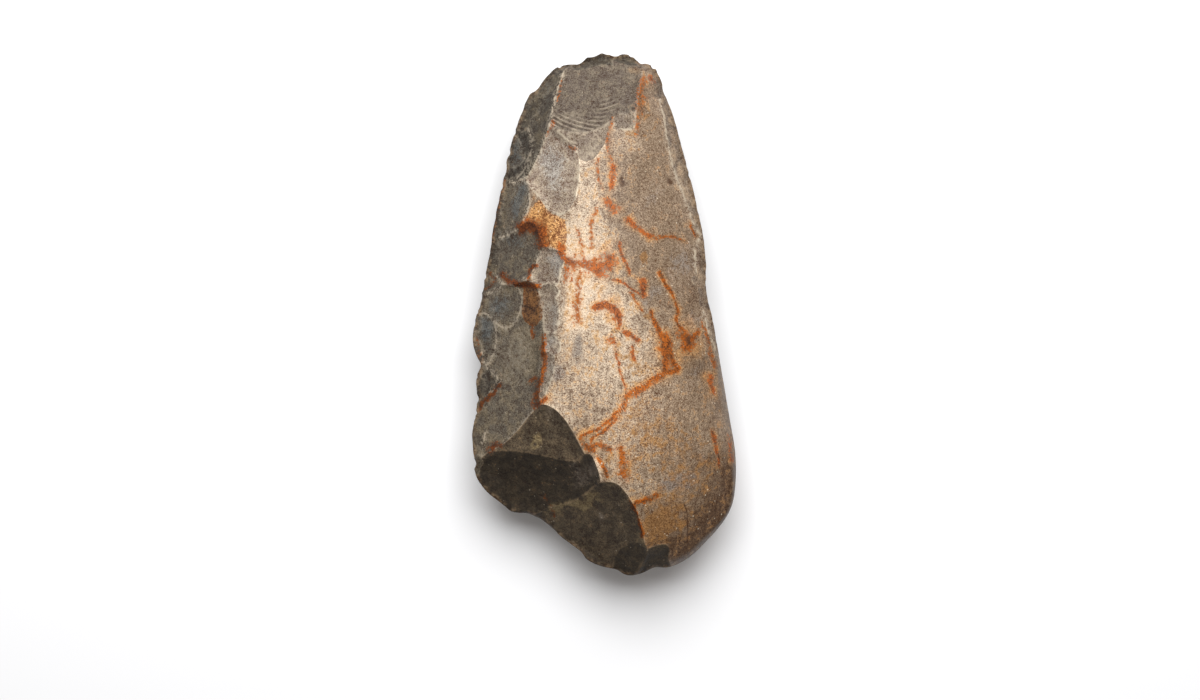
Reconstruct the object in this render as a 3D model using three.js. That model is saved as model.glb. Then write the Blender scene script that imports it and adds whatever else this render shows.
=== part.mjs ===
// A stone hand axe: one piece of fine-grained stone, flaked to shape along both sides and at the
// butt, ground smooth on both faces, with one corner of its bit broken away.
// Millimetres. The axe lies on its lower face: x runs across it, y towards the butt, z up.
import * as THREE from "three";
import { ParametricGeometry } from "three/addons/geometries/ParametricGeometry.js";

// Driving dimensions.
const UPPER_RISE = 13; // from the edge up to the crest of the upper face
const LOWER_DROP = 11.4; // from the edge down to the deepest point of the lower face, before wear
const REST_DEPTH = 11; // from the edge down to the worn flat that the axe lies on
const BIT_HALF_WIDTH = 28.6; // of the ground body at its bit
const BUTT_NARROWING = 14.2; // what each side loses from there to the butt
const BIT_LEVEL = -25; // y where the sides start to close in
const BUTT_LEVEL = 52; // y of the butt's end
const CREST_X = -1.5; // the upper face's highest line lies left of the middle
const EDGE_HALF_THICKNESS = 0.3; // of the crushed edge
const BUTT_HALF_THICKNESS = 2; // of the same edge at the butt
const EDGE_STEEPNESS = 2.4; // height of the faces 1 mm in from the edge
const EDGE_POWER = 0.8; // of the distance from the edge, in that height
const LEAST_RISE = 0.03; // of the faces for each mm in from the edge
const UPPER_POWER = 2.3; // of the lens that each ground face is across: higher is fuller
const LOWER_POWER = 2.6;
const BEVEL_POWER = 2.35; // of the roll down to the bit
const UPPER_BEVEL = { start: -20, length: 38 }; // y where that roll starts, and how far it runs
const LOWER_BEVEL = { start: -18, length: 40 };

// How scars are cut: where a scar's floor meets the edge, over the edge's middle plane, and how
// hard its sheet is held to its hollow and kept from bending.
const FLOOR_LIFT = 0.3;
const HOLLOW_HOLD = 0.49;
const BEND_HOLD = 0.0225;

// Mesh density: round the outline, and from the middle of one face over the edge to the other.
const COLUMNS = 156;
const FACE_RINGS = 12;
const CURVE_STEPS = 6;

// Ends of the long middle line, where the mesh's columns of the two sides meet.
const MIDDLE_BY_BUTT = new THREE.Vector2(-1, 42);
const MIDDLE_BY_BIT = new THREE.Vector2(3, -27);

// The outline from the butt's left corner, clockwise as seen from above.
const OUTLINE = [
  // butt
  [-3.4, 51.1], [-0.8, 51.9], [2.4, 51.3], [3.4, 51.75], [5.5, 51.3], [7.2, 49.9], [8.2, 49.9], [10, 48.9],
  // right side
  [11, 47], [12, 43.8], [13.9, 38.4], [16.2, 29.8], [18.3, 21.6], [19.5, 15.5], [20.1, 10], [20.2, 4],
  [21.4, -1], [22.6, -8], [24.9, -21], [25.9, -27], [26.1, -32],
  // bit
  [25.4, -37.7], [23.6, -41.2], [20.3, -45], [16.4, -48.6], [12.6, -50.3], [10, -50.3], [7.3, -51.5],
  [4.6, -51.9], [2.4, -50.8], [-0.6, -50.1],
  // broken corner
  [-3.4, -48.8], [-4.6, -47.3], [-8.2, -44.6], [-12.4, -41], [-15.2, -39.7], [-18.4, -39.4],
  [-20.2, -37.9], [-23.8, -34.8], [-25.6, -31.8],
  // left side
  [-25.9, -28.5], [-26.3, -24], [-25.4, -18], [-25.4, -12.4], [-24.7, -10.2], [-25.8, -7.6],
  [-26.2, -4.8], [-25.6, -0.5], [-24.4, 5], [-23, 11.5], [-21.8, 18.5], [-20.4, 25.5], [-18.8, 33],
  [-16.8, 39.3], [-14.9, 43.8], [-13.4, 44.8], [-12.4, 46.2], [-10, 48.9], [-7.6, 49.9], [-5.6, 49.8],
];

// Flake scars of the upper face, oldest first. A scar runs from strike, outside the edge, to its
// rim. bite is how far its floor lies under the rim, lip the width over which it gets there, and
// belly how hollow it is. floor, where given, holds points that the scar's floor passes near.
const UPPER_SCARS = [
  { name: "right side, by the butt", strike: [34, 30], bite: 0.1, lip: 1, belly: 0,
    rim: [[9.6, 50.5], [10.1, 47.5], [10.7, 43.6], [11.6, 39.6], [12.4, 34.5], [13.2, 30.2], [14.6, 26],
      [16.3, 21.8], [17.8, 17.4], [19.2, 15.6]] },
  { name: "right side, middle", strike: [34, 5], bite: 0.1, lip: 1, belly: 0,
    rim: [[19.6, 16.5], [18, 13.2], [18.3, 8.4], [18.9, 4], [20, -0.6], [21.6, -5.5], [23.4, -12]] },
  { name: "butt", strike: [-1, 62], bite: 0.2, lip: 1.4, belly: 0.3,
    floor: [[-6, 50.5, 2.5], [0, 51.5, 2.6], [6, 51, 2.6]],
    rim: [[8.2, 52], [7.4, 47.5], [6.6, 43], [6.1, 39.6], [5.9, 36.3], [2.2, 36.1], [-1.5, 34.9],
      [-6, 34.3], [-9.4, 35.2], [-15, 36], [-22, 46]] },
  { name: "shoulder", strike: [-24, 31], bite: 0.2, lip: 1.3, belly: 0.5,
    rim: [[-12, 38.5], [-9.6, 36], [-7.6, 34.3], [-5.6, 32], [-4.9, 29], [-5.3, 25], [-6.1, 21.6],
      [-7.7, 19.7], [-9.6, 19.5], [-11.4, 21], [-13.4, 23.6], [-15.2, 25.5], [-17, 25]] },
  { name: "first step", strike: [-15, 9], bite: 0.25, lip: 0.9, belly: 0.2,
    rim: [[-13, 13.4], [-10.4, 12.7], [-8.3, 12], [-7.9, 10.4], [-8.7, 8], [-9.1, 5.9], [-10.6, 5.6],
      [-13, 4]] },
  { name: "second step", strike: [-16, 0], bite: 0.25, lip: 0.8, belly: 0.15,
    rim: [[-13, 5.2], [-11.2, 5.9], [-9.6, 5.5], [-8.9, 4.2], [-9.5, 3], [-9, 1.4], [-8.95, -0.8],
      [-9.3, -3], [-10.4, -4.4], [-13, -5]] },
  { name: "third step", strike: [-16, -6], bite: 0.25, lip: 0.7, belly: 0.15,
    rim: [[-12.4, -3.2], [-10.4, -4], [-9, -5.2], [-8.6, -6.6], [-9.5, -8], [-11.6, -7.6]] },
  { name: "fourth step", strike: [-16, -11], bite: 0.25, lip: 0.8, belly: 0.15,
    rim: [[-12.4, -7.4], [-10.3, -7.5], [-9.7, -9.2], [-10, -11.6], [-10.8, -13.9], [-12.2, -16.4],
      [-13.6, -17]] },
  { name: "left side, by the butt", strike: [-34, 40], bite: 0.2, lip: 1.6, belly: 0.5,
    rim: [[-7.2, 52], [-7.7, 49.6], [-8.7, 46.2], [-9.9, 42.4], [-10.5, 39], [-11.4, 35.5],
      [-12.6, 32.1], [-14.5, 28.3], [-15.6, 26.8], [-19, 24]] },
  { name: "left side, high", strike: [-34, 21], bite: 0.3, lip: 1.4, belly: 0.4,
    rim: [[-21.5, 27.6], [-18.2, 27], [-15.4, 26.7], [-14.8, 24], [-15, 21], [-15.9, 18.6],
      [-17.6, 16.4], [-20.5, 15.3], [-24, 14]] },
  { name: "left side, middle", strike: [-36, 11], bite: 0.3, lip: 1.4, belly: 0.5,
    rim: [[-24, 15.8], [-20.6, 15.3], [-17.6, 16.4], [-15.4, 18.1], [-13.7, 17.6], [-12.9, 15.6],
      [-12.1, 13.4], [-13, 11], [-14, 8.6], [-16, 6.4], [-20, 5.4], [-25, 4.6]] },
  { name: "left side, low", strike: [-40, -8], bite: 0.3, lip: 1.5, belly: 0.6,
    rim: [[-26, 3.4], [-23.6, 5], [-21.3, 5.9], [-18.2, 5.9], [-14.9, 6.6], [-13.3, 5.2], [-12.2, 1.8],
      [-11.9, -2.5], [-11.8, -7], [-12.4, -11.5], [-12.7, -15.5], [-12.2, -20], [-14, -30], [-20, -36]] },
  { name: "left side nick", strike: [-30, -13], bite: 0.3, lip: 0.8, belly: 0.2,
    rim: [[-25.6, -10.2], [-23, -11.6], [-20.9, -13.5], [-22.6, -15.8], [-24.2, -17.4], [-26, -19.5]] },
  { name: "break, upper", strike: [-17, -52], bite: 0.15, lip: 1.2, belly: 0.3,
    floor: [[-12, -27.5, 7.6], [-19, -27, 5.6], [-5, -28.6, 8.2]],
    rim: [[-28, -30.4], [-25.2, -29.4], [-22, -26.9], [-19.6, -25.4], [-17, -22.8], [-14.2, -19.4],
      [-12.3, -17.7], [-10.2, -18.3], [-8, -20.3], [-5.8, -23.7], [-4.2, -26.8], [-3.4, -28.2],
      [-3, -34]] },
  { name: "break, lower", strike: [-24, -52], bite: 0.15, lip: 1.2, belly: 0.3,
    floor: [[-24, -34, 0.2], [-18, -38.5, -0.4], [-10.5, -38.5, 1.8], [-6, -37, 4], [-2.5, -34.6, 6.8]],
    rim: [[-28, -30], [-25, -28.9], [-22.6, -27.2], [-19, -26.9], [-13.5, -27.5], [-9, -28.4],
      [-5.2, -28.7], [-3.9, -27.4], [-2.7, -27.5], [-1.6, -29.6], [-0.9, -32], [-1, -34.5], [0, -40],
      [-4, -50]] },
  { name: "break, by the bit", strike: [-2, -62], bite: 0.15, lip: 1.2, belly: 0.4,
    rim: [[-16.5, -41.5], [-13, -39.2], [-10.2, -38], [-6.4, -37], [-3.4, -35], [-1.3, -33.2],
      [0.6, -32.8], [2.6, -33.3], [4.6, -35.6], [6.3, -38.8], [7.3, -42.4], [8, -46], [8.6, -50]] },
  { name: "first chip of the bit", strike: [5, -57], bite: 0.25, lip: 0.8, belly: 0.2,
    rim: [[1.6, -52], [2, -48.6], [3, -46.6], [5, -45.4], [7.2, -45], [8.3, -45.9], [8.2, -47.8],
      [6.6, -50.4], [6, -52.4]] },
  { name: "second chip of the bit", strike: [9.5, -56], bite: 0.1, lip: 0.8, belly: 0,
    rim: [[6.4, -51.6], [8, -48.2], [8.5, -46.5], [10.6, -46], [12.6, -45.5], [13, -46.8], [12.2, -49],
      [12.6, -52]] },
];

// Flake scars of the lower face: where along the outline, as a share of its length, how far in
// they reach, half their width, and how far they lean along the edge.
const LOWER_SCARS = [
  { at: 0.09, reach: 11, half: 10, lean: 0.1 },
  { at: 0.15, reach: 8, half: 10, lean: -0.1 },
  { at: 0.21, reach: 12, half: 11, lean: 0.2 },
  { at: 0.275, reach: 8, half: 10, lean: 0 },
  { at: 0.325, reach: 10, half: 9, lean: 0.1 },
  { at: 0.965, reach: 9, half: 9, lean: 0 },
  { at: 0.895, reach: 11, half: 11, lean: 0.1 },
  { at: 0.835, reach: 9, half: 10, lean: 0.2 },
  { at: 0.77, reach: 13, half: 12, lean: 0 },
  { at: 0.705, reach: 10, half: 10, lean: -0.1 },
  { at: 0.645, reach: 14, half: 11, lean: 0.1 },
  { at: 0.575, reach: 11, half: 11, lean: 0.2 },
  { at: 0.515, reach: 7, half: 8, lean: 0 },
  { at: 0.01, reach: 14, half: 8, lean: 0 },
];

// --- curves -------------------------------------------------------------------------------------

function curveThrough(points, closed) {
  const corners = points.map(([x, y]) => new THREE.Vector3(x, y, 0));
  return new THREE.CatmullRomCurve3(corners, closed, "centripetal");
}

const outlineCurve = curveThrough(OUTLINE, true);
outlineCurve.arcLengthDivisions = 2000;
const outlinePoints = outlineCurve.getPoints(OUTLINE.length * CURVE_STEPS).slice(0, -1);

// Distance from (x, y) to a closed polygon, positive inside it.
function distanceInside(polygon, x, y) {
  let nearest = Infinity;
  let inside = false;
  for (let i = 0, j = polygon.length - 1; i < polygon.length; j = i++) {
    const a = polygon[j];
    const b = polygon[i];
    const ex = b.x - a.x;
    const ey = b.y - a.y;
    const along = ((x - a.x) * ex + (y - a.y) * ey) / (ex * ex + ey * ey || 1);
    const t = THREE.MathUtils.clamp(along, 0, 1);
    nearest = Math.min(nearest, Math.hypot(x - a.x - t * ex, y - a.y - t * ey));
    if (a.y > y !== b.y > y && x < a.x + ((y - a.y) * ex) / ey) inside = !inside;
  }
  return inside ? nearest : -nearest;
}

// --- the ground body ----------------------------------------------------------------------------

// Height of the edge: a slow wander, mostly along the left side, a rise along the right side
// above the bit, and a dip where the corner broke away.
function edgeHeight(x, y) {
  const wander = 0.6 - 0.4 * Math.tanh(x / 8);
  const waves = Math.sin(y / 8.5 + x / 14) + 0.5 * Math.sin(y / 3.7 - x / 9 + 1);
  const rise = 2.4 * THREE.MathUtils.smoothstep(x, 4, 18) * THREE.MathUtils.smoothstep(y, -22, 2);
  const dip = 1.6 * Math.exp(-(((x + 12) / 14) ** 2) - ((y + 42) / 9) ** 2);
  return wander * waves + rise - dip;
}

function halfWidth(y) {
  const up = THREE.MathUtils.clamp((y - BIT_LEVEL) / (BUTT_LEVEL - BIT_LEVEL), 0, 1.4);
  return BIT_HALF_WIDTH - BUTT_NARROWING * up ** 1.1;
}

// A face of the ground body: 1 at its crest, 0 at the edge. It is a lens across, thins towards
// the butt, and rolls down to the bit from the level where the bevel starts.
function lens(across, power, y, bevel) {
  const towardsButt = THREE.MathUtils.clamp((y + 8) / 60, 0, 2);
  const down = Math.max(0, (bevel.start - y) / bevel.length);
  return (1 - 0.3 * towardsButt ** 2) * (1 - across ** power) - down ** BEVEL_POWER;
}

function groundUpper(x, y) {
  const side = x > CREST_X ? 1.5 : -1;
  const across = Math.abs(x - CREST_X) / (halfWidth(y) + side);
  return UPPER_RISE * lens(across, UPPER_POWER, y, UPPER_BEVEL);
}

function groundLower(x, y) {
  return LOWER_DROP * lens(Math.abs(x - 0.5) / halfWidth(y), LOWER_POWER, y, LOWER_BEVEL);
}

// --- flake scars --------------------------------------------------------------------------------

// The terms of a quadratic sheet at an offset from its centre.
function terms(dx, dy) {
  const x = dx / 10;
  const y = dy / 10;
  return [1, x, y, x * x, x * y, y * y];
}

const sum = (values) => values.reduce((a, b) => a + b, 0);
const dot = (a, b) => sum(a.map((value, i) => value * b[i]));

// Least squares by the normal equations and Gauss-Jordan elimination. A row is [terms, value, weight].
function leastSquares(rows, size) {
  const m = Array.from({ length: size }, () => new Array(size + 1).fill(0));
  for (const [row, value, weight] of rows)
    for (let i = 0; i < size; i++) {
      for (let j = 0; j < size; j++) m[i][j] += weight * row[i] * row[j];
      m[i][size] += weight * row[i] * value;
    }
  for (let i = 0; i < size; i++) {
    const pivot = m[i][i];
    m[i] = m[i].map((value) => value / pivot);
    for (let k = 0; k < size; k++) {
      const share = m[k][i];
      if (k !== i) m[k] = m[k].map((value, j) => value - share * m[i][j]);
    }
  }
  return m.map((row) => row[size]);
}

// The quadratic sheet nearest to the rim's and the floor's heights, sunk by belly at its middle.
function fitSheet(rim, floor, belly) {
  const points = [...rim, ...floor];
  const centre = {
    x: sum(points.map((p) => p.x)) / points.length,
    y: sum(points.map((p) => p.y)) / points.length,
  };
  const rowOf = (p, share) => [terms(p.x - centre.x, p.y - centre.y), p.z, share];
  const rows = [
    ...rim.map((p) => rowOf(p, 1 / rim.length)),
    ...floor.map((p) => rowOf(p, 1 / floor.length)),
  ];
  const [plane] = leastSquares(rows, 3);
  rows.push([[1, 0, 0, 0, 0, 0], plane - belly, HOLLOW_HOLD]);
  for (const bend of [3, 4, 5]) {
    const row = [0, 1, 2, 3, 4, 5].map((i) => Number(i === bend));
    rows.push([row, 0, BEND_HOLD]);
  }
  return { centre, weights: leastSquares(rows, 6) };
}

// The face after its scars so far. Inside a scar the face drops to the scar's sheet over its lip.
function heightAfter(ground, cuts, x, y) {
  let z = ground(x, y);
  for (const { region, box, sheet, lip } of cuts) {
    if (!box.containsPoint(new THREE.Vector2(x, y))) continue;
    const inside = distanceInside(region, x, y);
    if (inside <= 0) continue;
    const floor = dot(sheet.weights, terms(x - sheet.centre.x, y - sheet.centre.y));
    const share = 1 - (1 - Math.min(inside / lip, 1)) ** 2;
    z = Math.min(z, z + (floor - z) * share);
  }
  return z;
}

// Cuts the scars into a face, oldest first. side is 1 on the upper face and -1 on the lower one,
// whose heights are counted downwards.
function knap(ground, scars, side) {
  const cuts = [];
  for (const { strike, rim, bite, lip, belly, floor } of scars) {
    const rimCurve = curveThrough(rim, false);
    const steps = rim.length - 1;
    const region = [
      ...rimCurve.getPoints(steps * CURVE_STEPS),
      new THREE.Vector3(strike[0], strike[1], 0),
    ];
    const onStone = rimCurve
      .getPoints((steps * CURVE_STEPS) / 2)
      .filter((p) => distanceInside(outlinePoints, p.x, p.y) > 0.3)
      .map((p) => new THREE.Vector3(p.x, p.y, heightAfter(ground, cuts, p.x, p.y) - bite));
    const along = floor
      ? floor.map((p) => new THREE.Vector3(...p))
      : outlinePoints
          .filter((p) => distanceInside(region, p.x, p.y) > 0.2)
          .map((p) => new THREE.Vector3(p.x, p.y, side * edgeHeight(p.x, p.y) + FLOOR_LIFT));
    const box = new THREE.Box2().setFromPoints(region.map((p) => new THREE.Vector2(p.x, p.y)));
    cuts.push({ region, box, lip, sheet: fitSheet(onStone, along, belly) });
  }
  return (x, y) => heightAfter(ground, cuts, x, y);
}

// A scar struck from the outline, its rim half an ellipse.
function edgeScar({ at, reach, half, lean }) {
  const foot = outlineCurve.getPointAt(at);
  const along = outlineCurve.getTangentAt(at);
  const inward = new THREE.Vector3(along.y, -along.x, 0)
    .multiplyScalar(Math.cos(lean))
    .addScaledVector(along, Math.sin(lean));
  const rim = [];
  for (let k = 0; k <= 8; k++) {
    const turn = (k / 8 - 0.5) * Math.PI;
    const p = foot.clone().addScaledVector(inward, reach * Math.cos(turn));
    p.addScaledVector(along, half * Math.sin(turn));
    rim.push([p.x, p.y]);
  }
  const strike = foot.clone().addScaledVector(inward, -0.6 * half);
  return { strike: [strike.x, strike.y], rim, bite: 0.2, lip: 1.3, belly: 0.5 };
}

// --- the whole surface --------------------------------------------------------------------------

const upperFace = knap(groundUpper, UPPER_SCARS, 1);
const lowerFace = knap(groundLower, LOWER_SCARS.map(edgeScar), -1);

// The edge is crushed back: each face rises from it by a steep power of the distance.
function heightAt(face, side, x, y) {
  const inward = Math.max(0, distanceInside(outlinePoints, x, y));
  const butt = Math.exp(-(((y - BUTT_LEVEL) / 3) ** 2));
  const edge = THREE.MathUtils.lerp(EDGE_HALF_THICKNESS, BUTT_HALF_THICKNESS, butt);
  const foot = side * edgeHeight(x, y) + edge;
  const roof = foot + EDGE_STEEPNESS * inward ** EDGE_POWER;
  return Math.max(Math.min(face(x, y), roof), foot + LEAST_RISE * inward);
}

// A point of the outline, and its partner on the axe's long middle line. u runs once round the
// outline from the butt; both sides share the middle line, so the surface closes along it.
function column(u) {
  const down = u < 0.5 ? 2 * u : 2 - 2 * u;
  const middle = new THREE.Vector2().lerpVectors(MIDDLE_BY_BUTT, MIDDLE_BY_BIT, down);
  return { rim: outlineCurve.getPointAt(u === 1 ? 0 : u), middle };
}

// v runs from the middle of the upper face over the edge to the middle of the lower one.
function surfacePoint(u, v, target) {
  const { rim, middle } = column(u);
  const upper = v < 0.5;
  const rings = 2 * FACE_RINGS + 1;
  const ring = Math.round(v * rings);
  const out = (upper ? ring : rings - ring) / FACE_RINGS;
  const share = 1 - (1 - out) ** 1.2;
  const x = THREE.MathUtils.lerp(middle.x, rim.x, share);
  const y = THREE.MathUtils.lerp(middle.y, rim.y, share);
  if (upper) target.set(x, y, heightAt(upperFace, 1, x, y));
  else target.set(x, y, -Math.min(heightAt(lowerFace, -1, x, y), REST_DEPTH));
}

function stone() {
  const shape = new ParametricGeometry(surfacePoint, COLUMNS, 2 * FACE_RINGS + 1);
  shape.computeBoundingBox();
  const centre = shape.boundingBox.getCenter(new THREE.Vector3());
  const finish = new THREE.MeshStandardMaterial({ color: 0x8a7f70, roughness: 0.6, metalness: 0 });
  const mesh = new THREE.Mesh(shape, finish);
  mesh.name = "axe_stone";
  mesh.position.set(-centre.x, -centre.y, REST_DEPTH);
  return mesh;
}

const axe = new THREE.Group();
axe.add(stone());

export default axe;
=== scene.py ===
"""A stone hand axe: a tapered head of fine-grained stone, flaked along both sides and at the butt,
ground smooth on its faces, stained with rust, and broken at one corner of its bit.

The form is worked out in design millimetres: x across, y towards the butt, z up from the level of
the edge. It is then fitted to the frame's box.
"""

import math
from functools import reduce
from typing import NamedTuple

import bpy
import numpy as np
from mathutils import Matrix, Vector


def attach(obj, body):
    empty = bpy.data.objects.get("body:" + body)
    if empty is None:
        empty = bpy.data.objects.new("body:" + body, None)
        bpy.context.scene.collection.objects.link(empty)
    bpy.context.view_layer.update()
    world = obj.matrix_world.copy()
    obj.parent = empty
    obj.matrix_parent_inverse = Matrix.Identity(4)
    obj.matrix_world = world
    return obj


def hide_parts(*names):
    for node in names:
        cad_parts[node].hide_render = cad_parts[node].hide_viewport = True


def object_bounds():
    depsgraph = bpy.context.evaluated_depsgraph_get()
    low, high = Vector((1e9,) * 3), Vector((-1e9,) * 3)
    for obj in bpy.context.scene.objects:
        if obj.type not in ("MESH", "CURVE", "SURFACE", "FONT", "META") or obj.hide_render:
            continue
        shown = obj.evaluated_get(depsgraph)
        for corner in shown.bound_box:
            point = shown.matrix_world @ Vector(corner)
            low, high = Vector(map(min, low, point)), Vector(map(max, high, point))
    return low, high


bl_info = {
    "name": "Stone Hand Axe",
    "version": (1, 0, 0),
    "blender": (4, 5, 0),
    "location": "3D View > Sidebar > Hand Axe",
    "description": "Builds a flaked and ground stone hand axe, and a plain studio stage for it",
    "category": "Add Mesh",
}

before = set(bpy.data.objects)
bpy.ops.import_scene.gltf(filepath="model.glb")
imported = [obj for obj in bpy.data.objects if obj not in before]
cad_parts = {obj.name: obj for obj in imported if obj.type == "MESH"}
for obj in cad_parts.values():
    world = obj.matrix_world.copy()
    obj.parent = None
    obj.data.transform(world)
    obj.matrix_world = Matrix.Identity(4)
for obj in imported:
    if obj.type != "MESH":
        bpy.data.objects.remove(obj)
CAD_LOW, CAD_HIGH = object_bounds()

# ------------------------------------------------------------------------------------------------
# The form's driving sizes, in design millimetres
# ------------------------------------------------------------------------------------------------

UPPER_RISE = 13.0
LOWER_DROP = 11.4
# the stone lies on a worn flat this far below its edge
REST_DEPTH = 11.0
BIT_HALF_WIDTH = 28.6
BUTT_NARROWING = 14.2
BIT_LEVEL = -25.0
BUTT_LEVEL = 52.0
CREST_X = -1.5
EDGE_HALF_THICKNESS = 0.3
EDGE_LENGTH = 262.0
NICKS = 70

# The outline, clockwise from the butt as seen from above.
OUTLINE = [
    # butt
    (-3.4, 51.1), (-0.8, 51.9), (2.4, 51.3), (3.4, 51.75), (5.5, 51.3), (7.2, 49.9), (8.2, 49.9),
    (10.0, 48.9),
    # right side
    (11.0, 47.0), (12.0, 43.8), (13.9, 38.4), (16.2, 29.8), (18.3, 21.6), (19.5, 15.5), (20.1, 10.0),
    (20.2, 4.0), (21.4, -1.0), (22.6, -8.0), (24.9, -21.0), (25.9, -27.0), (26.1, -32.0),
    # bit
    (25.4, -37.7), (23.6, -41.2), (20.3, -45.0), (16.4, -48.6), (12.6, -50.3), (10.0, -50.3),
    (7.3, -51.5), (4.6, -51.9), (2.4, -50.8), (-0.6, -50.1),
    # broken corner
    (-3.4, -48.8), (-4.6, -47.3), (-8.2, -44.6), (-12.4, -41.0), (-15.2, -39.7), (-18.4, -39.4),
    (-20.2, -37.9), (-23.8, -34.8), (-25.6, -31.8),
    # left side
    (-25.9, -28.5), (-26.3, -24.0), (-25.4, -18.0), (-25.4, -12.4), (-24.7, -10.2), (-25.8, -7.6),
    (-26.2, -4.8), (-25.6, -0.5), (-24.4, 5.0), (-23.0, 11.5), (-21.8, 18.5), (-20.4, 25.5),
    (-18.8, 33.0), (-16.8, 39.3), (-14.9, 43.8), (-13.4, 44.8), (-12.4, 46.2), (-10.0, 48.9),
    (-7.6, 49.9), (-5.6, 49.8),
]


class Scar(NamedTuple):
    """A flake scar, from strike outside the edge to its rim. finish names its weathering, tone its
    brightness and wear how pale its rim is; bite, lip and belly say how deep, how gently and how
    hollow it is cut, and floor gives points that it passes through; ripple is the height and spacing
    of its waves, round heart where that is given and strike elsewhere, and sway how much stronger
    they are towards +x."""

    finish: str
    tone: float
    wear: float
    strike: tuple
    rim: list
    bite: float = 0.2
    lip: float = 1.2
    belly: float = 0.3
    floor: tuple = ()
    ripple: tuple = (0.05, 2.5)
    heart: tuple = ()
    sway: float = 0.0


FINISHES = ("side", "grey", "slate", "broken")

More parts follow.
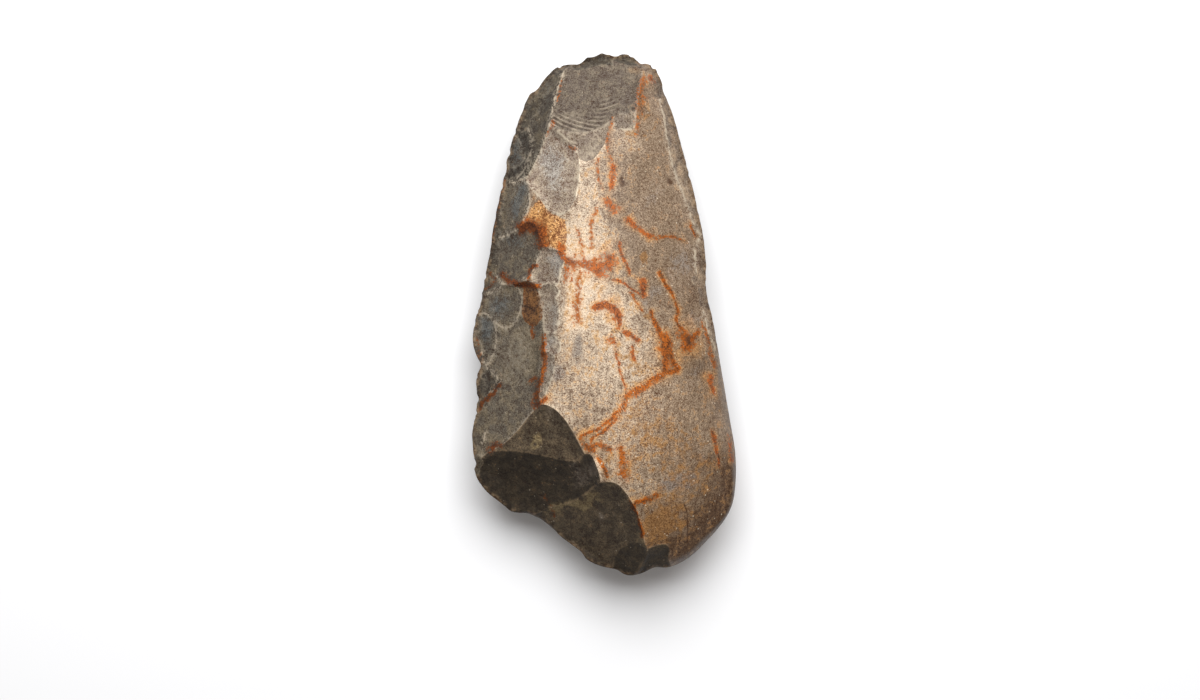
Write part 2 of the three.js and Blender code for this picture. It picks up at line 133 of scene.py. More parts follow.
# Scars of the upper face, oldest first.
UPPER_SCARS = [
    # right side, by the butt and in the middle
    Scar("side", 1.28, 0.8, (34, 30), [
        (9.6, 50.5), (10.1, 47.5), (10.7, 43.6), (11.6, 39.6), (12.4, 34.5), (13.2, 30.2), (14.6, 26.0),
        (16.3, 21.8), (17.8, 17.4), (19.2, 15.6)], 0.15, 0.8, 0.5),
    Scar("side", 1.55, 0.9, (34, 5), [
        (19.6, 16.5), (18.0, 13.2), (18.2, 8.4), (18.8, 4.0), (19.8, -0.6), (21.2, -5.0), (23.2, -10.0)],
        0.25, 0.7, 0.5),
    # soft toe of the butt scar, the step at its end, and that scar
    Scar("grey", 1.5, 0.15, (-6, 62), [
        (1.6, 40.0), (1.2, 37.6), (0.4, 34.8), (-0.8, 32.0), (-2.4, 30.2), (-4.2, 29.9), (-5.8, 31.6),
        (-8.0, 34.0), (-9.6, 35.4), (-15.0, 36.0)],
        0.1, 1.6, 0.1, ((-4, 46, 12.5), (-2, 40, 12.3)), (0.05, 0.9), (-1.0, 50.0), -0.5),
    Scar("grey", 1.25, 0.8, (4.0, 42.0), [
        (6.1, 40.0), (6.0, 38.5), (5.9, 37.2), (5.5, 36.3), (4.0, 36.05), (2.5, 36.3), (2.0, 37.3),
        (2.0, 39.2)], 0.22, 0.35, 0.0, ((4, 38.5, 9.5),), (0.0, 1.0)),
    Scar("grey", 0.8, 0.35, (-1, 62), [
        (8.2, 52.0), (7.4, 47.5), (6.6, 43.0), (6.0, 40.0), (4.4, 39.2), (2.2, 39.0), (1.2, 37.8),
        (-0.6, 36.4), (-3.0, 35.6), (-6.0, 35.4), (-9.4, 36.2), (-15.0, 37.0), (-22.0, 46.0)],
        0.2, 1.4, 0.3, ((-6, 50.5, 2.5), (0, 51.5, 2.6), (6, 51, 2.6)), (0.12, 0.85), (-1.0, 50.0), -1.7),
    # shoulder
    Scar("grey", 1.98, 1.0, (-24, 31), [
        (-12.0, 38.5), (-9.6, 36.0), (-7.6, 34.3), (-5.6, 32.0), (-4.9, 29.0), (-5.3, 25.0), (-6.1, 21.6),
        (-7.7, 19.7), (-9.6, 19.5), (-11.4, 21.0), (-13.4, 23.6), (-15.2, 25.5), (-17.0, 25.0)],
        0.2, 1.3, 0.5, (), (0.03, 1.6)),
    # steps beside the ground face
    Scar("grey", 1.48, 1.0, (-15, 9), [
        (-13.0, 13.4), (-10.4, 12.7), (-8.3, 12.0), (-7.9, 10.4), (-8.7, 8.0), (-9.1, 5.9), (-10.6, 5.6),
        (-13.0, 4.0)], 0.25, 0.9, 0.2),
    Scar("grey", 1.42, 1.0, (-16, 0), [
        (-13.0, 5.2), (-11.2, 5.9), (-9.6, 5.5), (-8.9, 4.2), (-9.5, 3.0), (-9.0, 1.4), (-8.95, -0.8),
        (-9.3, -3.0), (-10.4, -4.4), (-13.0, -5.0)], 0.25, 0.8, 0.15),
    Scar("grey", 1.65, 0.8, (-16, -6), [
        (-12.4, -3.2), (-10.4, -4.0), (-9.0, -5.2), (-8.6, -6.6), (-9.5, -8.0), (-11.6, -7.6)],
        0.25, 0.7, 0.15),
    Scar("grey", 1.2, 0.7, (-16, -11), [
        (-12.4, -7.4), (-10.3, -7.5), (-9.7, -9.2), (-10.0, -11.6), (-10.8, -13.9), (-12.2, -16.4),
        (-13.6, -17.0)], 0.25, 0.8, 0.15),
    # left side, from the butt down
    Scar("slate", 0.57, 0.9, (-34, 40), [
        (-7.2, 52.0), (-7.7, 49.6), (-8.7, 46.2), (-9.9, 42.4), (-10.5, 39.0), (-11.4, 35.5), (-12.6, 32.1),
        (-14.5, 28.3), (-15.6, 26.8), (-19.0, 24.0)], 0.2, 1.6, 0.5, (), (0.05, 2.6)),
    Scar("slate", 0.44, 0.5, (-26, 31), [
        (-20.4, 26.0), (-17.4, 27.0), (-15.4, 29.8), (-14.4, 33.2), (-15.0, 36.6), (-17.4, 39.0)],
        0.16, 0.9, 0.25, (), (0.12, 1.3), (-22, 33), 1.2),
    Scar("slate", 1.03, 0.9, (-34, 21), [
        (-21.5, 25.6), (-18.2, 26.2), (-15.6, 26.6), (-14.8, 24.0), (-15.0, 21.0), (-15.9, 18.6),
        (-17.6, 16.4), (-20.5, 15.3), (-24.0, 14.0)], 0.3, 1.4, 0.4, (), (0.05, 2.0)),
    Scar("slate", 0.98, 0.8, (-36, 11), [
        (-24.0, 15.8), (-20.6, 15.3), (-17.6, 16.4), (-15.4, 18.1), (-13.7, 17.6), (-12.9, 15.6),
        (-12.1, 13.4), (-13.0, 11.0), (-14.0, 8.6), (-16.0, 6.4), (-20.0, 5.4), (-25.0, 4.6)],
        0.3, 1.4, 0.5),
    Scar("slate", 1.03, 0.75, (-40, -8), [
        (-26.0, 3.4), (-23.6, 5.0), (-21.3, 5.9), (-18.2, 5.9), (-14.9, 6.6), (-13.3, 5.2), (-12.2, 1.8),
        (-11.9, -2.5), (-11.8, -7.0), (-12.4, -11.5), (-12.7, -15.5), (-12.2, -20.0), (-14.0, -30.0),
        (-20.0, -36.0)], 0.3, 1.5, 0.6, (), (0.05, 3.2)),
    # smaller ones along the left edge
    Scar("slate", 1.1, 0.45, (-34, 3), [
        (-24.8, 3.6), (-23.4, 4.9), (-21.5, 5.7), (-18.6, 5.8), (-16.7, 4.6), (-16.4, 1.8), (-17.2, -0.8),
        (-18.6, -2.4), (-20.0, -2.7), (-22.0, -1.6), (-26.0, -0.6)], 0.22, 1.0, 0.25, (), (0.04, 1.8)),
    Scar("slate", 0.87, 0.5, (-34, -3), [
        (-25.6, -0.2), (-24.0, 0.2), (-22.4, -0.8), (-21.6, -3.0), (-21.5, -5.6), (-22.3, -8.4),
        (-24.2, -11.2)],
        0.25, 0.9, 0.2, (), (0.05, 1.5)),
    Scar("side", 1.7, 0.9, (-28, -8), [
        (-26.0, -5.4), (-24.9, -6.0), (-24.3, -7.6), (-24.0, -9.4), (-24.6, -10.4)], 0.12, 0.5, 0.0),
    Scar("slate", 1.15, 0.8, (-28, 8), [
        (-24.6, 9.4), (-22.8, 8.6), (-21.0, 7.0), (-20.4, 5.6), (-22.0, 4.6), (-24.9, 3.4)],
        0.12, 0.6, 0.0, (), (0.06, 0.8)),
    Scar("slate", 0.5, 0.7, (-30, -13), [
        (-25.6, -10.2), (-23.6, -10.6), (-22.2, -11.6), (-20.9, -13.5), (-22.6, -15.8), (-24.2, -17.4),
        (-26.0, -19.5)], 0.3, 0.8, 0.2),
    Scar("slate", 0.66, 0.6, (-31, -23), [
        (-26.2, -17.2), (-24.4, -19.4), (-23.6, -22.0), (-24.0, -25.0), (-25.0, -27.6), (-27.0, -28.4)],
        0.15, 0.6, 0.1),
    # broken corner
    Scar("broken", 2.26, 0.45, (-17, -52), [
        (-28.0, -30.4), (-25.2, -29.4), (-22.0, -26.9), (-19.6, -25.4), (-17.0, -22.8), (-14.2, -19.4),
        (-12.3, -17.7), (-10.2, -18.3), (-8.0, -20.3), (-5.8, -23.7), (-4.2, -26.8), (-3.4, -28.2),
        (-3.0, -34.0)], 0.15, 1.2, 0.3, ((-12, -27.5, 7.6), (-19, -27.0, 5.6), (-5, -28.6, 8.2)),
        (0.05, 3.0)),
    Scar("broken", 0.85, 0.3, (-24, -52), [
        (-28.0, -30.0), (-25.0, -28.9), (-22.6, -27.2), (-19.0, -26.9), (-13.5, -27.5), (-9.0, -28.4),
        (-5.2, -28.7), (-3.9, -27.4), (-2.7, -27.5), (-1.6, -29.6), (-0.9, -32.0), (-1.0, -34.5),
        (0.0, -40.0), (-4.0, -50.0)], 0.15, 1.2, 0.3,
        ((-24, -34, 0.2), (-18, -38.5, -0.4), (-10.5, -38.5, 1.8), (-6, -37, 4.0), (-2.5, -34.6, 6.8)),
        (0.08, 4.0)),
    Scar("broken", 1.65, 0.3, (-2, -62), [
        (-16.5, -41.5), (-13.0, -39.2), (-10.2, -38.0), (-6.4, -37.0), (-3.4, -35.0), (-1.3, -33.2),
        (0.6, -32.8), (2.6, -33.3), (4.6, -35.6), (6.3, -38.8), (7.3, -42.4), (8.0, -46.0), (8.6, -50.0)],
        0.15, 1.2, 0.4, (), (0.06, 3.4)),
    # chips of the bit
    Scar("broken", 0.95, 0.1, (5, -57), [
        (1.6, -52.0), (2.0, -48.6), (3.0, -46.6), (5.0, -45.4), (7.2, -45.0), (8.3, -45.9), (8.2, -47.8),
        (6.6, -50.4), (6.0, -52.4)], 0.25, 0.8, 0.2, (), (0.04, 1.6)),
    Scar("broken", 1.06, 0.15, (9.5, -56), [
        (6.4, -51.6), (8.0, -48.2), (8.5, -46.4), (10.2, -45.7), (12.0, -45.4), (12.8, -46.3),
        (12.6, -48.2), (13.2, -50.0), (13.8, -52.0)], 0.1, 0.8, 0.0, (), (0.04, 1.6)),
]

# Scars of the lower face, struck from the outline: where along it, as a share of its length, how
# far in they reach, half their width, and how far they lean along the edge.
LOWER_LOBES = [
    (0.09, 11, 10, 0.1), (0.15, 8, 10, -0.1), (0.21, 12, 11, 0.2), (0.275, 8, 10, 0.0),
    (0.325, 10, 9, 0.1), (0.965, 9, 9, 0.0), (0.895, 11, 11, 0.1), (0.835, 9, 10, 0.2),
    (0.77, 13, 12, 0.0), (0.705, 10, 10, -0.1), (0.645, 14, 11, 0.1), (0.575, 11, 11, 0.2),
    (0.515, 7, 8, 0.0), (0.01, 14, 8, 0.0), (0.05, 9, 7, 0.1),
]

# ------------------------------------------------------------------------------------------------
# Numbers: curves, distances and seeded noise
# ------------------------------------------------------------------------------------------------

# how far from a region distances are worked out, where a caller doesn't say
FAR = 3.0
# point and segment pairs worked out at once, which keeps the arrays small
PAIRS_AT_ONCE = 4_000_000
LATTICE = 256
# shifts that keep the noise lattice's corners off the axes
SHIFT_U = 100.37
SHIFT_V = 90.71


def smoothstep(t):
    """0 below 0, 1 above 1, and 3t^2 - 2t^3 between."""
    t = np.clip(t, 0.0, 1.0)
    return t * t * (3.0 - 2.0 * t)


def smooth_curve(points, closed, steps):
    """The centripetal Catmull-Rom curve through the points: cubic stretches whose knots are as far
    apart as the square root of the distance between the points, steps to a stretch."""
    p = np.asarray(points, float)
    if closed:
        q = np.vstack([p[-1], p, p[:2]])
    else:
        q = np.vstack([2 * p[0] - p[1], p, 2 * p[-1] - p[-2]])
    p0, p1, p2, p3 = q[:-3], q[1:-2], q[2:-1], q[3:]

    def knot(a, b):
        """The square root of the distance between points a and b."""
        return np.maximum(np.sqrt(np.linalg.norm(b - a, axis=1)), 1e-6)[:, None]

    k0, k1, k2 = knot(p0, p1), knot(p1, p2), knot(p2, p3)
    leave = ((p1 - p0) / k0 - (p2 - p0) / (k0 + k1) + (p2 - p1) / k1) * k1
    reach = ((p2 - p1) / k1 - (p3 - p1) / (k1 + k2) + (p3 - p2) / k2) * k1
    leave, reach, a, b = leave[:, None], reach[:, None], p1[:, None], p2[:, None]
    s = (np.arange(steps) / steps)[None, :, None]
    square, cube = 3 * (b - a) - 2 * leave - reach, 2 * (a - b) + leave + reach
    curve = a + leave * s + square * s**2 + cube * s**3
    curve = curve.reshape(-1, 2)
    return curve if closed else np.vstack([curve, p[-1]])


def evenly(curve, count, shift=0.0):
    """count points at equal steps along a closed curve, with their tangents."""
    ring = np.vstack([curve, curve[:1]])
    lengths = np.linalg.norm(np.diff(ring, axis=0), axis=1)
    travelled = np.concatenate([[0.0], np.cumsum(lengths)])
    at = ((np.arange(count) / count + shift) % 1.0) * travelled[-1]
    points = np.stack([np.interp(at, travelled, ring[:, k]) for k in (0, 1)], -1)
    ahead = np.roll(points, -1, 0) - np.roll(points, 1, 0)
    return points, ahead / np.linalg.norm(ahead, axis=1)[:, None]


def distance_to_line(line, x, y):
    """Distance from each (x, y) to an open line of points: the least over its segments of the
    distance to the segment's nearest point."""
    a, e = line[:-1], np.diff(line, axis=0)
    square = np.maximum((e**2).sum(1), 1e-12)
    dx, dy = x[:, None] - a[:, 0], y[:, None] - a[:, 1]
    t = np.clip((dx * e[:, 0] + dy * e[:, 1]) / square, 0, 1)
    return np.sqrt(((dx - t * e[:, 0]) ** 2 + (dy - t * e[:, 1]) ** 2).min(1))


def distance_inside(region, x, y, reach=FAR):
    """Distance from each (x, y) to a closed region's border, positive inside it. Further than
    reach outside its box it is just -reach."""
    low, high = region.min(0) - reach, region.max(0) + reach
    near = (x > low[0]) & (x < high[0]) & (y > low[1]) & (y < high[1])
    found = np.full(x.shape, -float(reach))
    border = np.vstack([region, region[:1]])
    a, b = border[:-1], border[1:]
    rows = np.flatnonzero(near)
    for part in np.array_split(rows, max(1, len(rows) * len(region) // PAIRS_AT_ONCE)):
        px, py = x[part], y[part]
        crosses = (a[:, 1] > py[:, None]) != (b[:, 1] > py[:, None])
        rise = np.where(b[:, 1] == a[:, 1], 1.0, b[:, 1] - a[:, 1])
        cut = a[:, 0] + (py[:, None] - a[:, 1]) * (b[:, 0] - a[:, 0]) / rise
        inside = (crosses & (px[:, None] < cut)).sum(1) % 2 == 1
        found[part] = distance_to_line(border, px, py) * np.where(inside, 1, -1)
    return found


def noise(x, y, cell, seed):
    """Smooth lattice noise from -1 to 1: seeded values at the corners of square cells, blended
    between them by smoothstep."""
    lattice = np.random.default_rng(seed).uniform(-1, 1, (LATTICE, LATTICE))
    u, v = x / cell + SHIFT_U + seed, y / cell + SHIFT_V
    i, j = np.floor(u).astype(int), np.floor(v).astype(int)
    s, t = smoothstep(u - i), smoothstep(v - j)
    i0, i1, j0, j1 = i % LATTICE, (i + 1) % LATTICE, j % LATTICE, (j + 1) % LATTICE
    low = lattice[i0, j0] * (1 - s) + lattice[i1, j0] * s
    high = lattice[i0, j1] * (1 - s) + lattice[i1, j1] * s
    return low * (1 - t) + high * t


def rough(x, y, cell, seed, octaves=3):
    """Noise with finer noise on it: each octave has half the cell and half the height."""
    return sum(noise(x, y, cell / 2**k, seed + k) / 2**k for k in range(octaves))


# ------------------------------------------------------------------------------------------------
# The ground body and its edge
# ------------------------------------------------------------------------------------------------


def outline_curve():
    """The outline as a closed smooth curve."""
    return smooth_curve(OUTLINE, True, 6)


def edge_height(x, y):
    """Height of the edge: a slow wander, mostly along the left side, a rise along the right side
    above the bit, and a dip where the corner broke away."""
    wander = 0.6 - 0.4 * np.tanh(x / 8)
    waves = np.sin(y / 8.5 + x / 14) + 0.5 * np.sin(y / 3.7 - x / 9 + 1)
    rise = 2.4 * smoothstep((x - 4) / 14) * smoothstep((y + 22) / 24)
    dip = 1.6 * np.exp(-(((x + 12) / 14) ** 2) - ((y + 42) / 9) ** 2)
    return wander * waves + rise - dip


def half_width(y):
    """Half the ground body's width: whole at the bit, and narrower towards the butt with the power
    1.1 of the share of the way there."""
    up = np.clip((y - BIT_LEVEL) / (BUTT_LEVEL - BIT_LEVEL), 0, 1.4)
    return BIT_HALF_WIDTH - BUTT_NARROWING * up**1.1


def lens(across, power, y, bevel_start, bevel_length):
    """1 at a face's crest and 0 at its edge: a lens across, 1 - across^power, which thins towards
    the butt with the square of the distance and rolls down to the bit from the bevel's start."""
    towards_butt = np.clip((y + 8) / 60, 0, 2)
    down = np.maximum(0, (bevel_start - y) / bevel_length)
    return (1 - 0.3 * towards_butt**2) * (1 - across**power) - down**2.35


def ground_upper(x, y):
    """Height of the upper ground face: a lens round the crest, which lies left of the middle, so
    its right half is the wider one."""
    side = np.where(x > CREST_X, 1.5, -1.0)
    return UPPER_RISE * lens(np.abs(x - CREST_X) / (half_width(y) + side), 2.3, y, -20, 38)


def ground_lower(x, y):
    """Depth of the lower ground face: a lens that is fuller towards its sides."""
    return LOWER_DROP * lens(np.abs(x - 0.5) / half_width(y), 2.6, y, -18, 40)


def raggedness(x, y):
    """How chipped the edge is: fully along the left side and the butt, less along the right side
    and the broken corner, and hardly at all round the ground bit."""
    right = smoothstep(x / 6) * (0.55 - 0.5 * smoothstep((6 - y) / 20))
    left = (1 - smoothstep(x / 6)) * (1 - 0.65 * smoothstep((-30 - y) / 4))
    butt = smoothstep((y - 44) / 5)
    return np.clip(left + right + 0.6 * butt, 0.04, 1)


def nicked(points, tangents, depth, seed):
    """The outline bitten inwards: seeded parabolic nicks of many widths, deepest where the edge is
    ragged, on a fine tremble."""
    rng = np.random.default_rng(seed)
    inward = np.stack([tangents[:, 1], -tangents[:, 0]], -1)
    at = np.arange(len(points)) / len(points)
    bite = 0.2 + 0.2 * rough(at * EDGE_LENGTH, at * 0, 1.9, seed, 3)
    for _ in range(NICKS):
        centre, half = rng.uniform(0, 1), rng.uniform(0.4, 1.8) / EDGE_LENGTH
        away = np.abs((at - centre + 0.5) % 1 - 0.5) / half
        bite = np.maximum(bite, rng.uniform(0.2, 1) * np.clip(1 - away**2, 0, 1))
    ragged = raggedness(points[:, 0], points[:, 1])
    return points + inward * (depth * bite * ragged)[:, None]


# ------------------------------------------------------------------------------------------------
# Flake scars
# ------------------------------------------------------------------------------------------------


def terms(x, y):
    """The terms of a quadratic sheet: 1, x, y, x^2, xy and y^2, in centimetres."""
    x, y = x / 10, y / 10
    return np.stack([np.ones_like(x), x, y, x * x, x * y, y * y], -1)


def fit_sheet(rim, rim_z, floor, floor_z, belly):
    """The quadratic sheet nearest to the rim's and the floor's heights by least squares, sunk by
    belly at its middle and held lightly against bending."""
    p = np.vstack([rim, floor])
    centre = p.mean(0)
    rows = terms(*(p - centre).T)
    z = np.concatenate([rim_z, floor_z])
    weight = np.concatenate([np.full(len(part), 1 / len(part)) for part in (rim, floor)]) ** 0.5
    plane = np.linalg.lstsq(rows[:, :3] * weight[:, None], z * weight, rcond=None)[0]
    hold = np.diag([0.7, 0, 0, 0.15, 0.15, 0.15])[[0, 3, 4, 5]]
    system = np.vstack([rows * weight[:, None], hold])
    wanted = np.concatenate([z * weight, [0.7 * (plane[0] - belly), 0, 0, 0]])
    return centre, np.linalg.lstsq(system, wanted, rcond=None)[0]


def height_after(ground, cuts, x, y):
    """A face's height after its cuts so far: inside each scar it drops to the scar's sheet, as far
    as 1 - (1 - t)^2 of the way at t lips in from the rim, and it never rises."""
    z = ground(x, y)
    for region, (centre, weights), lip in cuts:
        inside = distance_inside(region, x, y)
        share = 1 - (1 - np.clip(inside / lip, 0, 1)) ** 2
        sheet = terms(x - centre[0], y - centre[1]) @ weights
        z = np.where(inside > 0, np.minimum(z, z + (sheet - z) * share), z)
    return z


def cut_scars(ground, scars, outline, side):
    """Fits each scar's sheet to the face as the older scars left it. Heights are counted away from
    the edge's level, so side is 1 on the upper face and -1 on the lower one."""
    cuts = []
    for scar in scars:
        region = np.vstack([smooth_curve(scar.rim, False, 6), scar.strike])
        rim = smooth_curve(scar.rim, False, 3)
        rim = rim[distance_inside(outline, *rim.T) > 0.3]
        rim_z = height_after(ground, cuts, *rim.T) - scar.bite
        if scar.floor:
            floor = np.array(scar.floor)
            floor, floor_z = floor[:, :2], floor[:, 2]
        else:
            floor = outline[distance_inside(region, *outline.T) > 0.2]
            if len(floor) == 0:
                floor = outline[[np.argmin(np.hypot(*(outline - scar.strike).T))]]
            floor_z = side * edge_height(*floor.T) + EDGE_HALF_THICKNESS
        cuts.append((region, fit_sheet(rim, rim_z, floor, floor_z, scar.belly), scar.lip))
    return cuts


def edge_scar(outline, tangents, at, reach, half, lean, uneven=0.0, seed=0, **looks):
    """A scar struck from the outline, its rim half an ellipse made uneven by seeded noise."""
    i = int(at * len(outline)) % len(outline)
    foot, along = outline[i], tangents[i]
    inward = np.array([along[1], -along[0]])
    inward = inward * math.cos(lean) + along * math.sin(lean)
    turn = np.linspace(-0.5, 0.5, 9)[:, None] * math.pi
    wobble = 1 + uneven * np.random.default_rng(seed).uniform(-1, 1, turn.shape)
    rim = foot + wobble * (reach * np.cos(turn) * inward + half * np.sin(turn) * along)
    strike = foot - 0.6 * half * inward
    return Scar(strike=tuple(strike), rim=[tuple(p) for p in rim], **looks)


def edge_chips(outline, tangents, count, seed):
    """Small seeded chips along the edge, fewer and smaller where it is less ragged."""
    rng = np.random.default_rng(seed)
    chips = []
    for k in range(count):
        at = (k + rng.uniform(0, 1)) / count
        x, y = outline[int(at * len(outline)) % len(outline)]
        size = rng.choice([0.9, 1.4, 2.0, 3.0], p=[0.3, 0.35, 0.2, 0.15]) * rng.uniform(0.8, 1.2)
        shape, tone = rng.uniform(0.8, 1.7), rng.uniform(0.55, 0.95) + 0.5 * (x > 6)
        lean, keep, wear = rng.uniform(-0.5, 0.5), rng.uniform(0, 1), rng.uniform(0, 0.2)
        ragged = float(raggedness(x, y))
        if keep > 1.3 * ragged or y < -33:
            continue
        reach = size * (0.4 + 0.6 * ragged)
        chips.append(edge_scar(outline, tangents, at, reach, reach * shape, lean, 0.22, seed + k,
                               finish="side" if x > 6 else "slate", tone=tone, wear=wear, bite=0.08,
                               lip=0.6, belly=0.1, ripple=(0.03, 0.9)))
    return chips


def read_marks(scars, cuts, x, y):
    """What the scars leave at each (x, y): the distance inside each finish's area, the brightness
    of the scar that shows there, its waves, how worn the nearest rim is, and how far away it is:
    unsigned as near, and with a sign that changes across the rim as rim."""
    marks = {finish: np.full(x.shape, -FAR) for finish in FINISHES}
    marks.update(tone=np.ones_like(x), waves=np.zeros_like(x), wear=np.zeros_like(x),
                 near=np.full(x.shape, FAR), rim=np.full(x.shape, -FAR))
    for k, (scar, (region, _, _)) in enumerate(zip(scars, cuts)):
        inside = distance_inside(region, x, y)
        within = inside > 0
        for finish in FINISHES:
            if finish == scar.finish:
                marks[finish] = np.maximum(marks[finish], inside)
            else:
                marks[finish] = np.minimum(marks[finish], -inside)
        marks["tone"][within] = scar.tone
        closer = within | (-inside < marks["near"])
        marks["rim"] = np.where(closer, inside, marks["rim"])
        marks["wear"] = np.where(closer, scar.wear, marks["wear"])
        marks["near"] = np.where(closer, np.abs(inside), marks["near"])
        height, spacing = scar.ripple
        heart = scar.heart or scar.strike
        out = np.hypot(x - heart[0], y - heart[1]) + 0.45 * spacing * noise(x, y, 4.0, 40 + k)
        phase = 2 * math.pi * out / spacing
        wave = np.sin(phase) + 0.35 * np.sin(2 * phase + 1)
        fade = smoothstep(inside / 0.8) * (0.12 + 0.88 * np.exp(-((inside / 4.0) ** 2)))
        swayed = 0.55 + 0.6 * noise(x, y, 5, 308 + k) + scar.sway * (x - heart[0]) / 10
        strength = height * fade * smoothstep(swayed)
        marks["waves"] = np.where(within, strength * wave, marks["waves"])
    return marks


# ------------------------------------------------------------------------------------------------
# Stains, patina and grime on the upper face, and painted shade and sheen
# ------------------------------------------------------------------------------------------------


class Stain(NamedTuple):
    """A rust vein: half its width, its strength, and the points that it passes."""

    half: float
    strength: float
    line: list


RED_STAINS = [
    # band across the crest
    Stain(1.2, 0.72, [(-5.2, 9.6), (-3.0, 9.9), (-1.0, 9.4), (0.6, 9.9), (1.4, 10.6)]),
    Stain(0.6, 0.8, [(-8.6, 13.4), (-8.0, 11.8), (-7.0, 10.2), (-5.8, 9.4)]),
    Stain(0.8, 0.85, [(-1.4, 8.6), (-0.6, 7.9)]),
    Stain(0.35, 0.6, [(-7.2, 9.6), (-7.0, 8.0), (-6.4, 6.4)]),
    # arc on the crest, its pit and what lies past it
    Stain(0.47, 1.5, [(-1.9, 1.4), (-0.4, 1.8), (0.8, 1.5), (1.9, 0.7)]),
    Stain(0.58, 1.5, [(0.8, 1.4), (1.9, 0.6), (2.8, -0.6)]),
    Stain(0.35, 0.95, [(2.6, -0.4), (3.1, -1.4), (2.9, -2.8)]),
    Stain(0.4, 0.9, [(1.2, -4.6), (0.8, -5.2), (1.6, -5.4)]),
    Stain(0.4, 0.85, [(3.8, -3.5), (5.0, -4.3), (6.3, -5.0)]),
    Stain(0.22, 0.7, [(1.8, -6.0), (2.9, -9.7), (3.6, -12.4), (4.5, -15.2)]),
    Stain(0.25, 0.75, [(5.5, -6.3), (5.5, -7.6), (5.9, -9.2)]),
    # towards the butt
    Stain(0.45, 0.7, [(1.5, 28.5), (1.7, 26.5), (1.4, 24.5)]),
    Stain(0.7, 0.72, [(0.4, 22.0), (1.1, 21.3), (1.9, 20.3)]),
    Stain(0.4, 0.8, [(4.8, 18.2), (6.0, 17.0), (7.3, 16.2), (9.0, 15.2)]),
    Stain(0.45, 0.5, [(9.4, 47.0), (9.3, 45.8)]),
    Stain(0.3, 0.8, [(2.9, 14.0), (3.3, 12.0), (4.3, 9.6), (4.9, 7.7)]),
    # along the left side
    Stain(1.0, 1.0, [(-16.6, 17.2), (-15.0, 17.8), (-13.5, 17.1), (-12.6, 15.6), (-12.2, 13.8)]),
    Stain(0.35, 0.8, [(-20.2, 8.0), (-19.4, 7.0), (-18.0, 6.3), (-16.4, 5.8), (-14.6, 5.7)]),
    Stain(0.3, 0.6, [(-13.6, 9.6), (-14.4, 8.4), (-14.9, 6.6)]),
    Stain(0.6, 0.6, [(-23.0, -27.3), (-21.8, -25.8), (-20.6, -26.0)]),
    Stain(0.45, 0.85, [(-13.6, -17.9), (-12.3, -17.2), (-11.7, -16.6)]),
    Stain(0.3, 0.5, [(-23.3, 12.0), (-22.6, 15.0), (-21.8, 18.4), (-20.9, 22.6), (-20.0, 26.6)]),
    # by the right side
    Stain(0.35, 0.9, [(7.4, 6.4), (7.5, 5.0), (7.7, 3.5)]),
    Stain(0.25, 0.8, [(1.1, 6.7), (4.0, 5.9), (5.8, 4.5), (7.4, 3.6)]),
    Stain(0.5, 0.85, [(20.8, -12.6), (21.1, -13.8), (21.5, -15.4)]),
    Stain(0.22, 0.7, [(21.1, -23.0), (21.7, -24.6), (22.1, -26.6), (22.4, -28.3), (22.8, -30.0)]),
    Stain(0.35, 0.5, [(24.6, -24.0), (25.0, -26.5), (25.4, -29.0)]),
]

